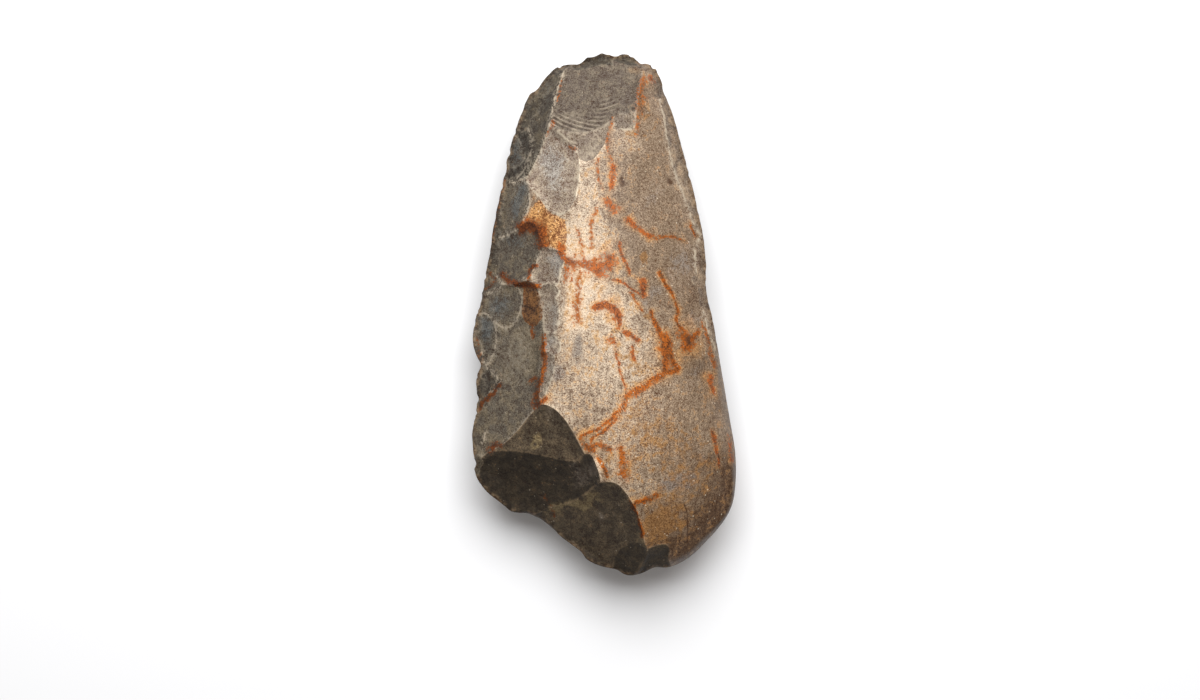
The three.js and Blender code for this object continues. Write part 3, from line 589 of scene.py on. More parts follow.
ORANGE_STAINS = [
    # forked vein with its knots, and the long branch down to the break
    Stain(0.3, 1.0, [(9.2, 0.4), (9.4, -0.8), (10.2, -2.6), (11.3, -4.6)]),
    Stain(0.85, 1.0, [(11.8, -4.8), (12.3, -6.2), (12.0, -7.4)]),
    Stain(0.55, 1.1, [(11.6, -6.0), (11.8, -8.0), (11.9, -9.6), (11.8, -11.3)]),
    Stain(0.4, 1.0, [(12.8, -7.6), (13.4, -9.2), (14.4, -11.2), (13.0, -11.4), (11.9, -11.5)]),
    Stain(0.6, 0.55, [(12.4, -8.4), (12.7, -10.2)]),
    Stain(0.32, 1.0, [(12.9, -11.5), (10.6, -12.2), (9.2, -12.9), (7.2, -14.3), (4.8, -15.4)]),
    Stain(0.5, 0.6, [(11.4, -12.2), (9.4, -13.4), (7.4, -14.8), (5.2, -15.8)]),
    Stain(0.3, 0.95, [(4.8, -15.4), (4.0, -17.3), (2.4, -19.3), (0.4, -21.2), (-2.0, -22.8),
        (-4.4, -23.6)]),
    Stain(0.3, 0.75, [(4.2, -17.8), (3.0, -19.8), (1.2, -21.6), (-0.6, -23.0), (-2.6, -24.4)]),
    # beside it, with a knot, and down the crest
    Stain(0.25, 0.75, [(5.2, 3.8), (6.2, 2.5), (7.4, 0.4)]),
    Stain(0.27, 0.95, [(10.8, 8.0), (11.6, 6.7), (12.6, 5.2), (13.8, 2.8), (14.3, 0.4), (14.3, -1.8),
        (15.3, -2.9)]),
    Stain(1.1, 0.75, [(15.8, -4.0), (16.6, -5.2), (15.8, -6.6)]),
    Stain(0.35, 0.75, [(16.6, -4.8), (17.5, -4.4), (18.3, -3.5)]),
    Stain(0.5, 0.5, [(-4.8, 9.0), (-5.0, 6.5), (-4.9, 4.0), (-5.2, 2.0)]),
    Stain(0.6, 0.55, [(-5.2, 3.2), (-5.3, 1.5), (-5.6, -1.4)]),
    Stain(0.3, 0.55, [(-7.4, 10.0), (-7.6, 8.0), (-7.4, 6.0)]),
    Stain(0.4, 0.5, [(-5.2, 16.4), (-4.6, 14.4), (-4.4, 12.0)]),
    # across the right side
    Stain(0.25, 0.5, [(9.5, 15.0), (11.0, 15.0), (13.0, 15.0), (15.5, 14.5)]),
    Stain(0.3, 0.6, [(17.0, 18.0), (17.4, 16.6), (17.9, 15.6)]),
    # along the broken corner's arris
    Stain(0.32, 0.9, [(5.4, -37.8), (6.0, -36.9), (7.6, -36.4), (9.0, -36.2), (10.2, -35.6)]),
    Stain(0.3, 0.75, [(-4.8, -24.0), (-3.4, -26.3), (-1.6, -27.4), (-0.6, -29.2), (0.4, -31.4)]),
    Stain(0.5, 0.6, [(-3.0, -26.0), (-1.0, -25.6), (1.0, -26.6)]),
    Stain(0.8, 0.55, [(3.2, -26.4), (3.6, -28.5), (3.6, -31.2)]),
    Stain(0.25, 0.8, [(4.8, -36.4), (6.2, -38.6), (7.0, -41.0), (7.4, -43.4)]),
    # towards the butt
    Stain(0.25, 0.6, [(-1.2, 30.0), (-1.4, 27.0), (-0.6, 24.5)]),
    Stain(0.25, 0.6, [(-1.7, 20.5), (-2.3, 18.0), (-2.7, 15.5), (-2.6, 13.0)]),
    Stain(0.7, 0.3, [(7.9, 46.0), (7.0, 43.9), (7.3, 42.3), (6.6, 40.6), (6.9, 39.0), (6.3, 37.2),
        (6.4, 35.2)]),
    Stain(0.25, 0.4, [(-8.4, 46.6), (-8.9, 44.6), (-9.4, 42.0)]),
    Stain(0.28, 0.6, [(-10.2, 37.6), (-10.8, 36.2), (-11.4, 35.0)]),
    Stain(0.35, 0.45, [(1.7, 38.4), (1.2, 37.3), (0.9, 34.7), (0.6, 32.0), (1.2, 30.0), (1.6, 28.5)]),
    Stain(0.35, 0.4, [(-6.8, 32.8), (-5.8, 32.2)]),
    # out of the pond and along the left scars' arris
    Stain(0.45, 0.9, [(-16.2, 5.8), (-14.6, 5.7), (-13.0, 5.4)]),
    Stain(0.25, 0.7, [(-14.2, -2.2), (-14.0, -4.4)]),
    Stain(0.45, 0.75, [(-12.0, -4.4), (-11.9, -6.4), (-11.8, -8.6), (-12.3, -12.0), (-13.0, -15.2),
        (-13.4, -17.0)]),
    Stain(0.3, 0.7, [(-20.6, -13.7), (-21.8, -14.8), (-23.6, -17.2), (-25.0, -19.0)]),
    Stain(0.45, 0.5, [(-13.6, -12.6), (-14.4, -13.4)]),
    # on the broken corner and along both edges
    Stain(0.3, 0.3, [(-12.0, -36.0), (-10.6, -38.4), (-9.8, -40.4)]),
    Stain(0.35, 0.45, [(-25.4, -4.6), (-25.0, -6.6), (-25.2, -9.0)]),
    Stain(0.3, 0.4, [(-23.9, 5.2), (-22.6, 5.8), (-21.6, 6.8), (-22.8, 8.2)]),
    Stain(0.25, 0.4, [(-26.6, -21.0), (-26.9, -24.6), (-26.3, -28.0)]),
    Stain(0.3, 0.4, [(19.3, -1.5), (20.6, -6.0), (21.9, -10.5)]),
]

# Pits, and threads of dark stone.
DARK_STAINS = [
    Stain(0.2, 0.9, [(1.4, -4.6), (1.5, -3.6), (2.3, -3.2), (3.1, -3.6), (3.2, -4.4), (2.4, -4.9)]),
    Stain(0.22, 0.9, [(-16.4, 1.4), (-14.9, 1.2), (-13.8, 0.5), (-12.6, -0.6)]),
    Stain(0.5, 0.8, [(16.4, -4.8), (16.5, -5.8)]),
    Stain(0.4, 0.85, [(12.4, 26.4), (12.9, 26.0)]),
    Stain(0.45, 0.75, [(3.4, 26.4), (3.7, 25.2)]),
    Stain(0.2, 0.8, [(21.2, -23.2), (21.5, -24.0)]),
    Stain(0.15, 0.6, [(21.6, -24.4), (22.0, -26.4), (22.3, -28.0)]),
    Stain(0.2, 0.9, [(22.2, -27.6), (22.5, -28.4)]),
    Stain(0.16, 1.0, [(15.6, -37.0), (16.1, -39.5), (16.3, -42.0), (16.3, -45.0)]),
    Stain(0.16, 0.6, [(11.5, -26.0), (11.2, -28.0), (10.5, -31.0)]),
    Stain(0.3, 0.6, [(-23.6, -11.4), (-22.9, -13.0)]),
    Stain(0.16, 0.8, [(-17.4, -32.2), (-16.0, -33.0), (-14.8, -34.0), (-13.4, -35.4), (-11.6, -36.6)]),
    Stain(0.5, 0.5, [(-11.4, -36.6), (-10.8, -37.4)]),
]

# Rust that fills a hollow or a patch up to a crisp edge, by its outline: one hollow on the left
# side, and a speckled golden patch beside the shoulder.
POND = [
    (-16.2, 6.3), (-14.4, 6.2), (-12.9, 5.9), (-13.4, 4.8), (-12.5, 3.4), (-12.0, 1.4), (-12.1, -0.4),
    (-13.1, -2.0), (-14.3, -2.4), (-15.6, -1.4), (-16.3, 0.2), (-16.1, 2.0), (-15.9, 3.6), (-16.1, 5.0),
]
GOLD = [
    (-16.4, 18.0), (-14.6, 20.4), (-12.8, 22.4), (-11.8, 21.2), (-10.8, 20.0), (-9.3, 19.2), (-7.9, 18.2),
    (-7.3, 16.0), (-7.5, 13.8), (-8.8, 12.5), (-10.6, 12.9), (-11.9, 13.4), (-12.2, 15.4), (-13.4, 17.0),
    (-15.2, 17.0),
]

# Broad washes on the upper face: x, y, how far they spread across and along, and strength. On the
# scars, pale, cool and ochre ones choose among the scars' own colours; on the broken corner the pale
# and cool ones bring in its painted sheen, as at (-2.8, -31.6) and (-5.0, -32.0).
# The strongest pale washes, along the crest, are partly real patina and partly a painted highlight where the
# crest faces the light.
PALE_WASHES = [
    (-4.5, 15, 5.0, 11, 0.62), (-6.5, 3, 3.2, 8, 0.9), (-1.5, 4, 5, 8, 0.5), (-2.5, -12, 6.5, 8, 0.42),
    (4, -2, 5, 7, 0.42), (6, -10, 5, 6, 0.34), (-9, -19, 3, 4, 0.45), (5, -22, 7, 6, 0.32),
    (4, 33, 4, 4, 0.25), (-3, 27, 3, 5, 0.3), (13, -31, 6, 7, 0.15), (-17, -8, 4, 7, 0.6),
    (-16, 24, 2, 2, 0.2), (-5.5, 38.2, 5.0, 2.0, 0.8), (-3.2, 33.0, 2.6, 2.2, 0.8),
    (-1.0, -39.6, 1.0, 1.5, 0.8), (-2.8, -31.6, 1.4, 1.8, 0.8), (2.4, -29.5, 2.4, 4.0, 0.4),
    (7.0, -33.0, 4.0, 2.4, 0.2),
]
COOL_WASHES = [
    (-4.7, -6.6, 1.8, 2.5, 0.95), (-8.3, -10.6, 1.4, 2.1, 1.2), (-9.5, 11.0, 2.2, 2.4, 0.9),
    (10.0, 4.5, 2.6, 2.6, 0.6), (4.5, 13.0, 1.8, 3.0, 0.4), (14.5, 11.0, 3.5, 6.0, 0.62),
    (17.5, -1.0, 2.5, 4.0, 0.5), (12.8, -27.5, 1.0, 2.2, 0.4), (14.0, -33.0, 2.2, 1.4, 2.4),
    (7.0, -13.4, 1.2, 0.7, 0.8), (1.5, 4.0, 2.4, 1.8, 0.4), (18.4, -11.4, 1.8, 1.6, 0.5),
    (18.6, -27.4, 1.0, 1.6, 0.7), (7.8, 4.0, 1.2, 0.9, 0.4), (9.5, 22.0, 3.5, 5.0, 0.5),
    (12.0, 36.0, 2.5, 6.0, 0.35), (-23.5, -3.5, 2.2, 3.4, 1.1), (-20.0, 2.0, 2.5, 3.0, 0.7),
    (-9.5, 28.5, 3.5, 6.5, 0.9), (-10.0, 2.0, 1.5, 8.0, 0.6), (-18.5, 14.5, 3.0, 2.2, 0.6),
    (-17.5, 31.0, 2.5, 4.0, 0.7), (-12.0, 45.0, 2.0, 3.0, 0.4), (-10.5, -7.0, 1.0, 3.0, 0.5),
    (-17.0, 22.0, 1.8, 3.4, 0.9), (-17.0, -8.0, 3.5, 6.0, 0.5), (-5.0, -32.0, 2.5, 2.2, 0.8),
    (2.0, -38.0, 3.0, 3.0, 0.3),
]
BROWN_WASHES = [
    (20.5, -41.5, 6.0, 5.0, 1.0), (24.5, -32.0, 3.0, 7.0, 0.8), (14.0, -47.0, 6.0, 3.0, 1.0),
    (22.5, -16.0, 2.2, 6.0, 0.5), (10.0, -41.0, 4.0, 4.0, 0.4), (18.0, -30.0, 6.0, 6.0, 0.6),
    (11.0, 33.0, 5.0, 9.0, 0.25), (16.5, 8.0, 3.0, 7.0, 0.35), (7.5, 49.0, 3.0, 1.6, 0.4),
    (7.4, 43.0, 1.2, 4.5, 0.75), (5.0, 30.0, 0.8, 2.5, 0.3), (17.0, 3.0, 3.0, 5.0, 0.35),
    (18.5, -11.0, 3.0, 5.0, 0.4), (21.5, -37.5, 3.5, 4.0, 0.38),
]
PITTED_WASHES = [
    (-9.0, 31.0, 3.5, 5.0, 1.0), (-8.0, 22.0, 3.0, 3.0, 0.5), (-3.5, 19.0, 3.0, 4.0, 0.6),
    (3.0, -2.0, 7.0, 6.0, 0.5), (4.0, -11.0, 6.0, 8.0, 0.8), (6.0, -22.0, 8.0, 8.0, 0.6),
    (-6.0, -15.0, 4.0, 6.0, 0.5), (-3.0, 44.0, 6.0, 4.0, 0.3),
]
OCHRE_WASHES = [
    (11.5, -41.0, 4.0, 4.2, 1.0), (8.6, -44.5, 1.6, 2.4, 0.5), (3.0, -29.5, 3.0, 2.6, 0.45),
    (6.0, 37.0, 4.0, 5.0, 0.35), (7.5, 46.5, 2.6, 2.4, 0.5), (5.6, 48.2, 2.4, 1.0, 1.2),
    (-13.4, -25.0, 1.1, 0.8, 2.4), (-13.4, -25.0, 0.55, 0.4, -2.8), (-9.4, -38.9, 1.8, 1.4, 1.3),
    (-6.2, -37.6, 2.4, 1.2, 1.3), (-3.3, -36.4, 1.8, 0.9, 0.9), (9.0, 0.4, 0.9, 0.9, 1.5),
    (8.2, 11.4, 0.7, 1.0, 1.2), (-1.5, 25.0, 1.5, 3.0, 0.25), (7.0, -22.0, 8.0, 6.0, 0.44),
    (15.5, -31.0, 7.0, 8.0, 0.5), (5.5, -8.0, 4.0, 5.0, 0.38), (6.5, -20.0, 5.0, 4.0, 0.15),
    (-23.0, -8.0, 1.6, 3.0, 0.3),
]

# Lighter and darker places, with the strength as a share. Among them, the one at (-13.1, 16.8) is
# painted shade on a step of the left side that faces away from the light, and the one at (-4.0, -31.4)
# a painted sheen on the broken corner.
SHADE_WASHES = [
    (-8.5, 21.5, 3.0, 2.6, -0.14), (-5.5, 38.4, 5.0, 1.6, -0.04), (15.0, -17.0, 4.0, 4.0, 0.14),
    (4.8, -6.5, 3.5, 4.0, -0.09), (-5.0, 16.0, 3.0, 4.0, -0.06), (-4.0, -31.4, 2.6, 2.2, 0.7),
    (-13.1, 16.8, 0.9, 1.4, -0.5), (-12.3, -9.0, 0.9, 7.0, -0.36), (-21.6, -26.2, 1.6, 1.2, -0.2),
    (-6.5, 1.0, 2.0, 3.0, 0.05), (-12.8, 35.0, 1.2, 3.0, 0.22), (17.5, -10.5, 2.5, 5.0, -0.13),
    (19.6, 6.0, 1.0, 6.0, 0.2), (-18.0, 0.5, 2.0, 2.5, -0.12), (9.5, 31.0, 4.0, 6.0, -0.05),
    (-1.2, -39.4, 1.2, 1.6, 0.35), (8.0, -48.5, 4.0, 2.0, 0.12), (3.0, -45.0, 3.0, 3.0, 0.17),
    (-16.5, 33.0, 1.4, 1.6, -0.08), (-4.0, 6.0, 4.0, 4.0, -0.03), (2.0, -1.0, 3.0, 2.0, -0.05),
    (0.0, 9.6, 3.0, 1.2, 0.08), (6.0, -22.0, 7.0, 7.0, 0.11), (9.0, -9.5, 2.5, 3.0, 0.08),
]


def stain_field(stains, x, y):
    """How strongly the veins stain each (x, y): the most over the veins of strength times
    exp(-(distance / half)^2), with the whole pattern bent by noise so that no vein runs evenly."""
    wx = x + 0.25 * rough(x, y, 1.8, 11)
    wy = y + 0.25 * rough(x, y, 1.8, 17)
    field = np.zeros_like(x)
    for k, stain in enumerate(stains):
        line = smooth_curve(stain.line, False, 4)
        low, high = line.min(0) - 4 * stain.half, line.max(0) + 4 * stain.half
        near = (wx > low[0]) & (wx < high[0]) & (wy > low[1]) & (wy < high[1])
        px, py = wx[near], wy[near]
        half = 1.15 * stain.half * (1 + 0.45 * noise(px, py, 2.2, 90 + k))
        strength = stain.strength * (1 + 0.3 * noise(px, py, 1.4, 190 + k))
        cover = strength * np.exp(-((distance_to_line(line, px, py) / half) ** 2))
        field[near] = np.maximum(field[near], cover)
    return field


def wash_field(washes, x, y):
    """The sum of soft spots, each strength times exp(-r^2) with r measured in its own spread, on
    coordinates bent by noise."""
    wx = x + 1.6 * rough(x, y, 6, 23)
    wy = y + 1.6 * rough(x, y, 6, 29)
    field = np.zeros_like(x)
    for cx, cy, sx, sy, strength in washes:
        field += strength * np.exp(-(((wx - cx) / sx) ** 2) - ((wy - cy) / sy) ** 2)
    return np.clip(field, -0.6, 1.2)


def patch(outline, x, y):
    """Distance inside a smooth closed outline, from -1 to 1, its edge made ragged by noise."""
    inside = distance_inside(smooth_curve(outline, True, 5), x, y)
    return np.clip(inside + 0.18 * rough(x, y, 0.9, 47), -1, 1)


# ------------------------------------------------------------------------------------------------
# The whole surface
# ------------------------------------------------------------------------------------------------

COLUMNS = 880
UPPER_RINGS = 66
WALL_RINGS = 2
LOWER_RINGS = 38
EDGE_POINTS = 1000
# the ends of the long line that both faces' rings start from
MIDDLE_BY_BUTT = (-1.0, 42.0)
MIDDLE_BY_BIT = (3.0, -27.0)


def clamp_to_edge(z, x, y, inward, side):
    """Holds a face's height between two rises from the edge's own height and thickness: a steep
    one, 2.4 times the distance to the power 0.8, met with a rounded corner, and a slight one."""
    butt = np.exp(-(((y - BUTT_LEVEL) / 3) ** 2))
    foot = side * edge_height(x, y) + EDGE_HALF_THICKNESS + 1.7 * butt
    roof = foot + 2.4 * inward**0.8
    round_off = 1.2 * smoothstep(inward / 2)
    lowest = (z + roof - np.sqrt((z - roof) ** 2 + round_off**2)) / 2
    return np.maximum(lowest, foot + 0.03 * inward)


def face_surface(ground, scars, outline, side, ripple, x, y):
    """Heights of one face, counted away from the edge's level, and its marks."""
    cuts = cut_scars(ground, scars, outline, side)
    marks = read_marks(scars, cuts, x, y)
    inward = np.maximum(0, distance_inside(outline, x, y, reach=60))
    z = height_after(ground, cuts, x, y)
    # the grinding left long, very shallow facets; the flaked stone is uneven at every size
    flaked = smoothstep(np.max([marks[f] for f in FINISHES], axis=0) / 0.6)
    facets = 0.09 * rough(x, y * 0.45, 7.0, 3, 2)
    uneven = 0.10 * rough(x, y, 4.0, 5, 3) + 0.07 * rough(x, y, 1.3, 6, 2)
    z = z + facets * (1 - flaked) + (uneven + ripple * marks["waves"]) * flaked
    crushed = raggedness(x, y) * np.exp(-((inward / 0.9) ** 2))
    z = z + 0.22 * crushed * rough(x, y, 0.8, 9, 2)
    marks["edge"] = inward
    return clamp_to_edge(z, x, y, inward, side), marks


def axe_surface(settings):
    """Points, faces and marks of the whole stone, and which points its upper face has. Columns run
    from a long middle line out to the outline; rings run from the upper face's middle over the edge
    to the lower face's middle. Both sides share the points of the middle line, so the skin is
    closed."""
    smooth = outline_curve()
    outline, tangents = evenly(smooth, EDGE_POINTS)
    chips = edge_chips(outline, tangents, settings.chip_count, settings.seed)
    under = [
        edge_scar(outline, tangents, at, reach, half, lean, 0.12, k, finish="slate",
                  tone=0.95 + 0.15 * math.sin(7 * k), wear=0.5, lip=1.3, belly=0.5)
        for k, (at, reach, half, lean) in enumerate(LOWER_LOBES)
    ]
    under += edge_chips(outline, tangents, settings.chip_count // 2, settings.seed + 1)

    columns, along = evenly(smooth, COLUMNS)
    rim = nicked(columns, along, settings.nick_depth, settings.seed + 2)
    half_count = COLUMNS // 2
    down = np.arange(half_count + 1) / half_count
    middle = np.outer(1 - down, MIDDLE_BY_BUTT) + np.outer(down, MIDDLE_BY_BIT)
    partner = np.minimum(np.arange(COLUMNS), COLUMNS - np.arange(COLUMNS))

    def rings(count):
        """Rings from the middle line to the rim, closer together towards the rim."""
        out = np.arange(1, count + 1) / count
        share = (1 - (1 - out) ** 1.25)[:, None, None]
        spread = middle[partner] * (1 - share) + rim * share
        return np.vstack([middle, spread.reshape(-1, 2)])

    upper_xy, lower_xy = rings(UPPER_RINGS), rings(LOWER_RINGS)
    ripple = settings.ripple_share
    upper_z, upper = face_surface(ground_upper, UPPER_SCARS + chips, rim, 1, ripple, *upper_xy.T)
    lower_z, lower = face_surface(ground_lower, under, rim, -1, ripple, *lower_xy.T)
    lower_z = -np.minimum(lower_z, REST_DEPTH)
    top_edge, low_edge = upper_z[-COLUMNS:], lower_z[-COLUMNS:]

    # the edge's own wall, slightly rounded
    steps = (np.arange(1, WALL_RINGS + 1) / (WALL_RINGS + 1))[:, None]
    bulge = 0.12 * np.sin(math.pi * steps)
    outward = np.stack([-along[:, 1], along[:, 0]], -1)
    wall_xy = (rim + outward * bulge[:, :, None]).reshape(-1, 2)
    wall_z = (top_edge * (1 - steps) + low_edge * steps).ravel()

    points = np.vstack([
        np.column_stack([upper_xy, upper_z]),
        np.column_stack([wall_xy, wall_z]),
        np.column_stack([lower_xy, lower_z]),
    ])
    marks = {
        name: np.concatenate([upper[name], np.tile(upper[name][-COLUMNS:], WALL_RINGS), lower[name]])
        for name in upper
    }

    start_lower = len(upper_xy) + len(wall_xy)
    ring_rows = np.arange(half_count + 1, start_lower).reshape(-1, COLUMNS)
    lower_rows = np.arange(start_lower + half_count + 1, len(points)).reshape(-1, COLUMNS)[::-1]
    grid = np.vstack([partner, ring_rows, lower_rows, start_lower + partner])
    a, b = grid[:-1], grid[1:]
    faces = np.stack([a, np.roll(a, -1, 1), np.roll(b, -1, 1), b], -1).reshape(-1, 4)
    is_upper = np.arange(len(points)) < start_lower
    return points, faces, marks, is_upper


def add_colour_marks(marks, points, is_upper):
    """The marks that only colour the stone: veins and washes on the upper face, and on the lower
    one plain noise in their place."""
    x, y = points[:, 0], points[:, 1]
    spread = rough(x, y, 9.0, 51, 3)
    halos = [vein._replace(half=2.6 * vein.half) for vein in RED_STAINS + ORANGE_STAINS]
    for name, field in (
        ("red", stain_field(RED_STAINS, x, y)),
        ("orange", stain_field(ORANGE_STAINS, x, y)),
        ("dark", stain_field(DARK_STAINS, x, y)),
        ("haze", stain_field(halos, x, y)),
        ("pale", wash_field(PALE_WASHES, x, y)),
        ("cool", wash_field(COOL_WASHES, x, y)),
        ("brown", wash_field(BROWN_WASHES, x, y)),
        ("pitted", wash_field(PITTED_WASHES, x, y)),
        ("ochre", wash_field(OCHRE_WASHES, x, y)),
        ("shade", wash_field(SHADE_WASHES, x, y)),
        ("pond", 1 + patch(POND, x, y)),
        ("gold", 1 + patch(GOLD, x, y)),
    ):
        marks[name] = np.where(is_upper, field, 0.0)
    lower = ~is_upper
    marks["pale"][lower] = 0.4 * smoothstep(0.5 + spread[lower]) * smoothstep((y[lower] + 44) / 14)
    marks["ochre"][lower] = 0.5 * smoothstep(rough(x, y, 7.0, 61, 3)[lower] * 2 - 0.3)
    vein = np.exp(-((rough(x, y, 11.0, 71, 3)[lower] / 0.035) ** 2))
    marks["brown"][lower] = 0.5 * smoothstep(0.4 - spread[lower])
    marks["orange"][lower] = 0.75 * vein * smoothstep(noise(x, y, 8.0, 81)[lower] * 3)
    return marks


# ------------------------------------------------------------------------------------------------
# Material
# ------------------------------------------------------------------------------------------------


def linear(shade):
    """A display colour of red, green and blue from 0 to 1 as linear values and an alpha of 1."""
    def channel(c):
        """The display's curve undone: straight near black and a power of 2.4 above."""
        return c / 12.92 if c <= 0.04045 else ((c + 0.055) / 1.055) ** 2.4

    return tuple(channel(c) for c in shade) + (1.0,)


# Each finish's border on the shaded stone: how far noise swings it, and how softly it fades out.
BORDERS = {"side": (0.1, 0.1), "grey": (0.09, 0.09), "slate": (0.04, 0.0), "broken": (0.04, 0.0)}
# The scars' colours, in the order in which they are laid on: for each finish a first shade, and
# then each shade over it, which field brings it in, from what value to what, and up to what share.
SCAR_SHADES = {
    "side": ("side", [("side_tan", "mottle", 0.3, 0.7, 1.0)]),
    "grey": ("flake_grey", [
        ("flake_tan", "mottle", 0.35, 0.65, 1.0), ("flake_cool", "cool", 0.2, 0.9, 0.7),
        ("worn_tan", "ochre", 0.3, 1.0, 0.6)]),
    "slate": ("slate", [
        ("slate_brown", "clouded", 0.35, 0.7, 1.0), ("slate_blue", "cool", 0.2, 0.9, 0.8),
        ("slate_pale", "pale", 0.0, 1.0, 0.7)]),
    "broken": ("broken", [
        # on the broken corner the pale and cool fields bring in a painted sheen, lighter grey where the
        # fracture catches the light
        ("broken_brown", "mottle", 0.35, 0.68, 1.0), ("sheen", "pale", 0.3, 1.0, 0.8),
        ("sheen", "cool", 0.3, 0.9, 0.8), ("film", "ochre", 0.2, 1.0, 0.75)]),
}
# object coordinates in millimetres, and the same drawn out along the axe
TO_MM = (1000.0, 1000.0, 1000.0)
TO_STREAKS = (1300.0, 300.0, 900.0)
SPECKS_PER_MM = 2.1
# in metres
BUMP_HEIGHT = 0.0002


class Recipe:
    """A new material and what adds nodes to it. Every method but finished returns output sockets,
    and takes sockets or plain numbers."""

    def __init__(self, name):
        self.material = bpy.data.materials.new(name)
        self.material.use_nodes = True
        self.tree = self.material.node_tree
        self.tree.nodes.clear()

    def put(self, made, key, value):
        """Links a socket to a node's input, or sets a plain value on it."""
        if isinstance(value, bpy.types.NodeSocket):
            self.tree.links.new(value, made.inputs[key])
        else:
            made.inputs[key].default_value = value

    def node(self, kind, values, output=0, **settings):
        """One output of a new node with these inputs and settings, or None if it has no outputs."""
        made = self.tree.nodes.new(kind)
        for name, value in settings.items():
            setattr(made, name, value)
        for key, value in values.items():
            self.put(made, key, value)
        return made.outputs[output] if made.outputs else None

    def mark(self, name):
        """A mark of the mesh, read as a number."""
        return self.node("ShaderNodeAttribute", {}, "Fac", attribute_name=name)

    def math(self, operation, *values, clamp=False):
        """An operation on one number or two."""
        return self.node("ShaderNodeMath", dict(enumerate(values)), operation=operation, use_clamp=clamp)

    def chain(self, operation, values):
        """The values taken together one after another."""
        return reduce(lambda so_far, value: self.math(operation, so_far, value), values)

    def add(self, *values):
        return self.chain("ADD", values)

    def times(self, *values):
        return self.chain("MULTIPLY", values)

    def most(self, *values):
        return self.chain("MAXIMUM", values)

    def ramp(self, value, low, high, start=0.0, end=1.0):
        """start at low, end at high and a smooth step between them; low may be above high."""
        if low > high:
            low, high, start, end = high, low, end, start
        return self.node(
            "ShaderNodeMapRange",
            {"Value": value, "From Min": low, "From Max": high, "To Min": start, "To Max": end},
            interpolation_type="SMOOTHSTEP",
        )

    def between(self, share, start, end):
        """start where share is 0 and end where it is 1."""
        return self.ramp(share, 0.0, 1.0, start, end)

    def noise(self, place, per_mm, detail=2.0, roughness=0.55, distortion=0.0):
        """Smooth noise from 0 to 1, with so many cells to a millimetre."""
        values = {"Scale": per_mm, "Detail": detail, "Roughness": roughness, "Distortion": distortion}
        return self.node("ShaderNodeTexNoise", {"Vector": place, **values}, "Fac")

    def grains(self, place, per_mm):
        """How far each place is from its grain's middle, and the grain's own random number."""
        distance = self.node("ShaderNodeTexVoronoi", {"Vector": place, "Scale": per_mm}, "Distance")
        own = self.node("ShaderNodeSeparateColor", {"Color": distance.node.outputs["Color"]}, 0)
        return distance, own

    def mix(self, share, first, second, blend="MIX"):
        """first where share is 0 and second where it is 1."""
        made = self.tree.nodes.new("ShaderNodeMix")
        made.data_type = "RGBA"
        made.blend_type = blend
        for index, value in ((0, share), (6, first), (7, second)):
            self.put(made, index, value)
        return made.outputs[2]

    def brighten(self, colour, factor):
        """The colour times a number."""
        grey = self.node("ShaderNodeCombineColor", {0: factor, 1: factor, 2: factor})
        return self.mix(1.0, colour, grey, "MULTIPLY")

    def finished(self, values):
        """The material, with a surface of these values."""
        surface = self.node("ShaderNodeBsdfPrincipled", values, "BSDF")
        self.node("ShaderNodeOutputMaterial", {"Surface": surface})
        return self.material


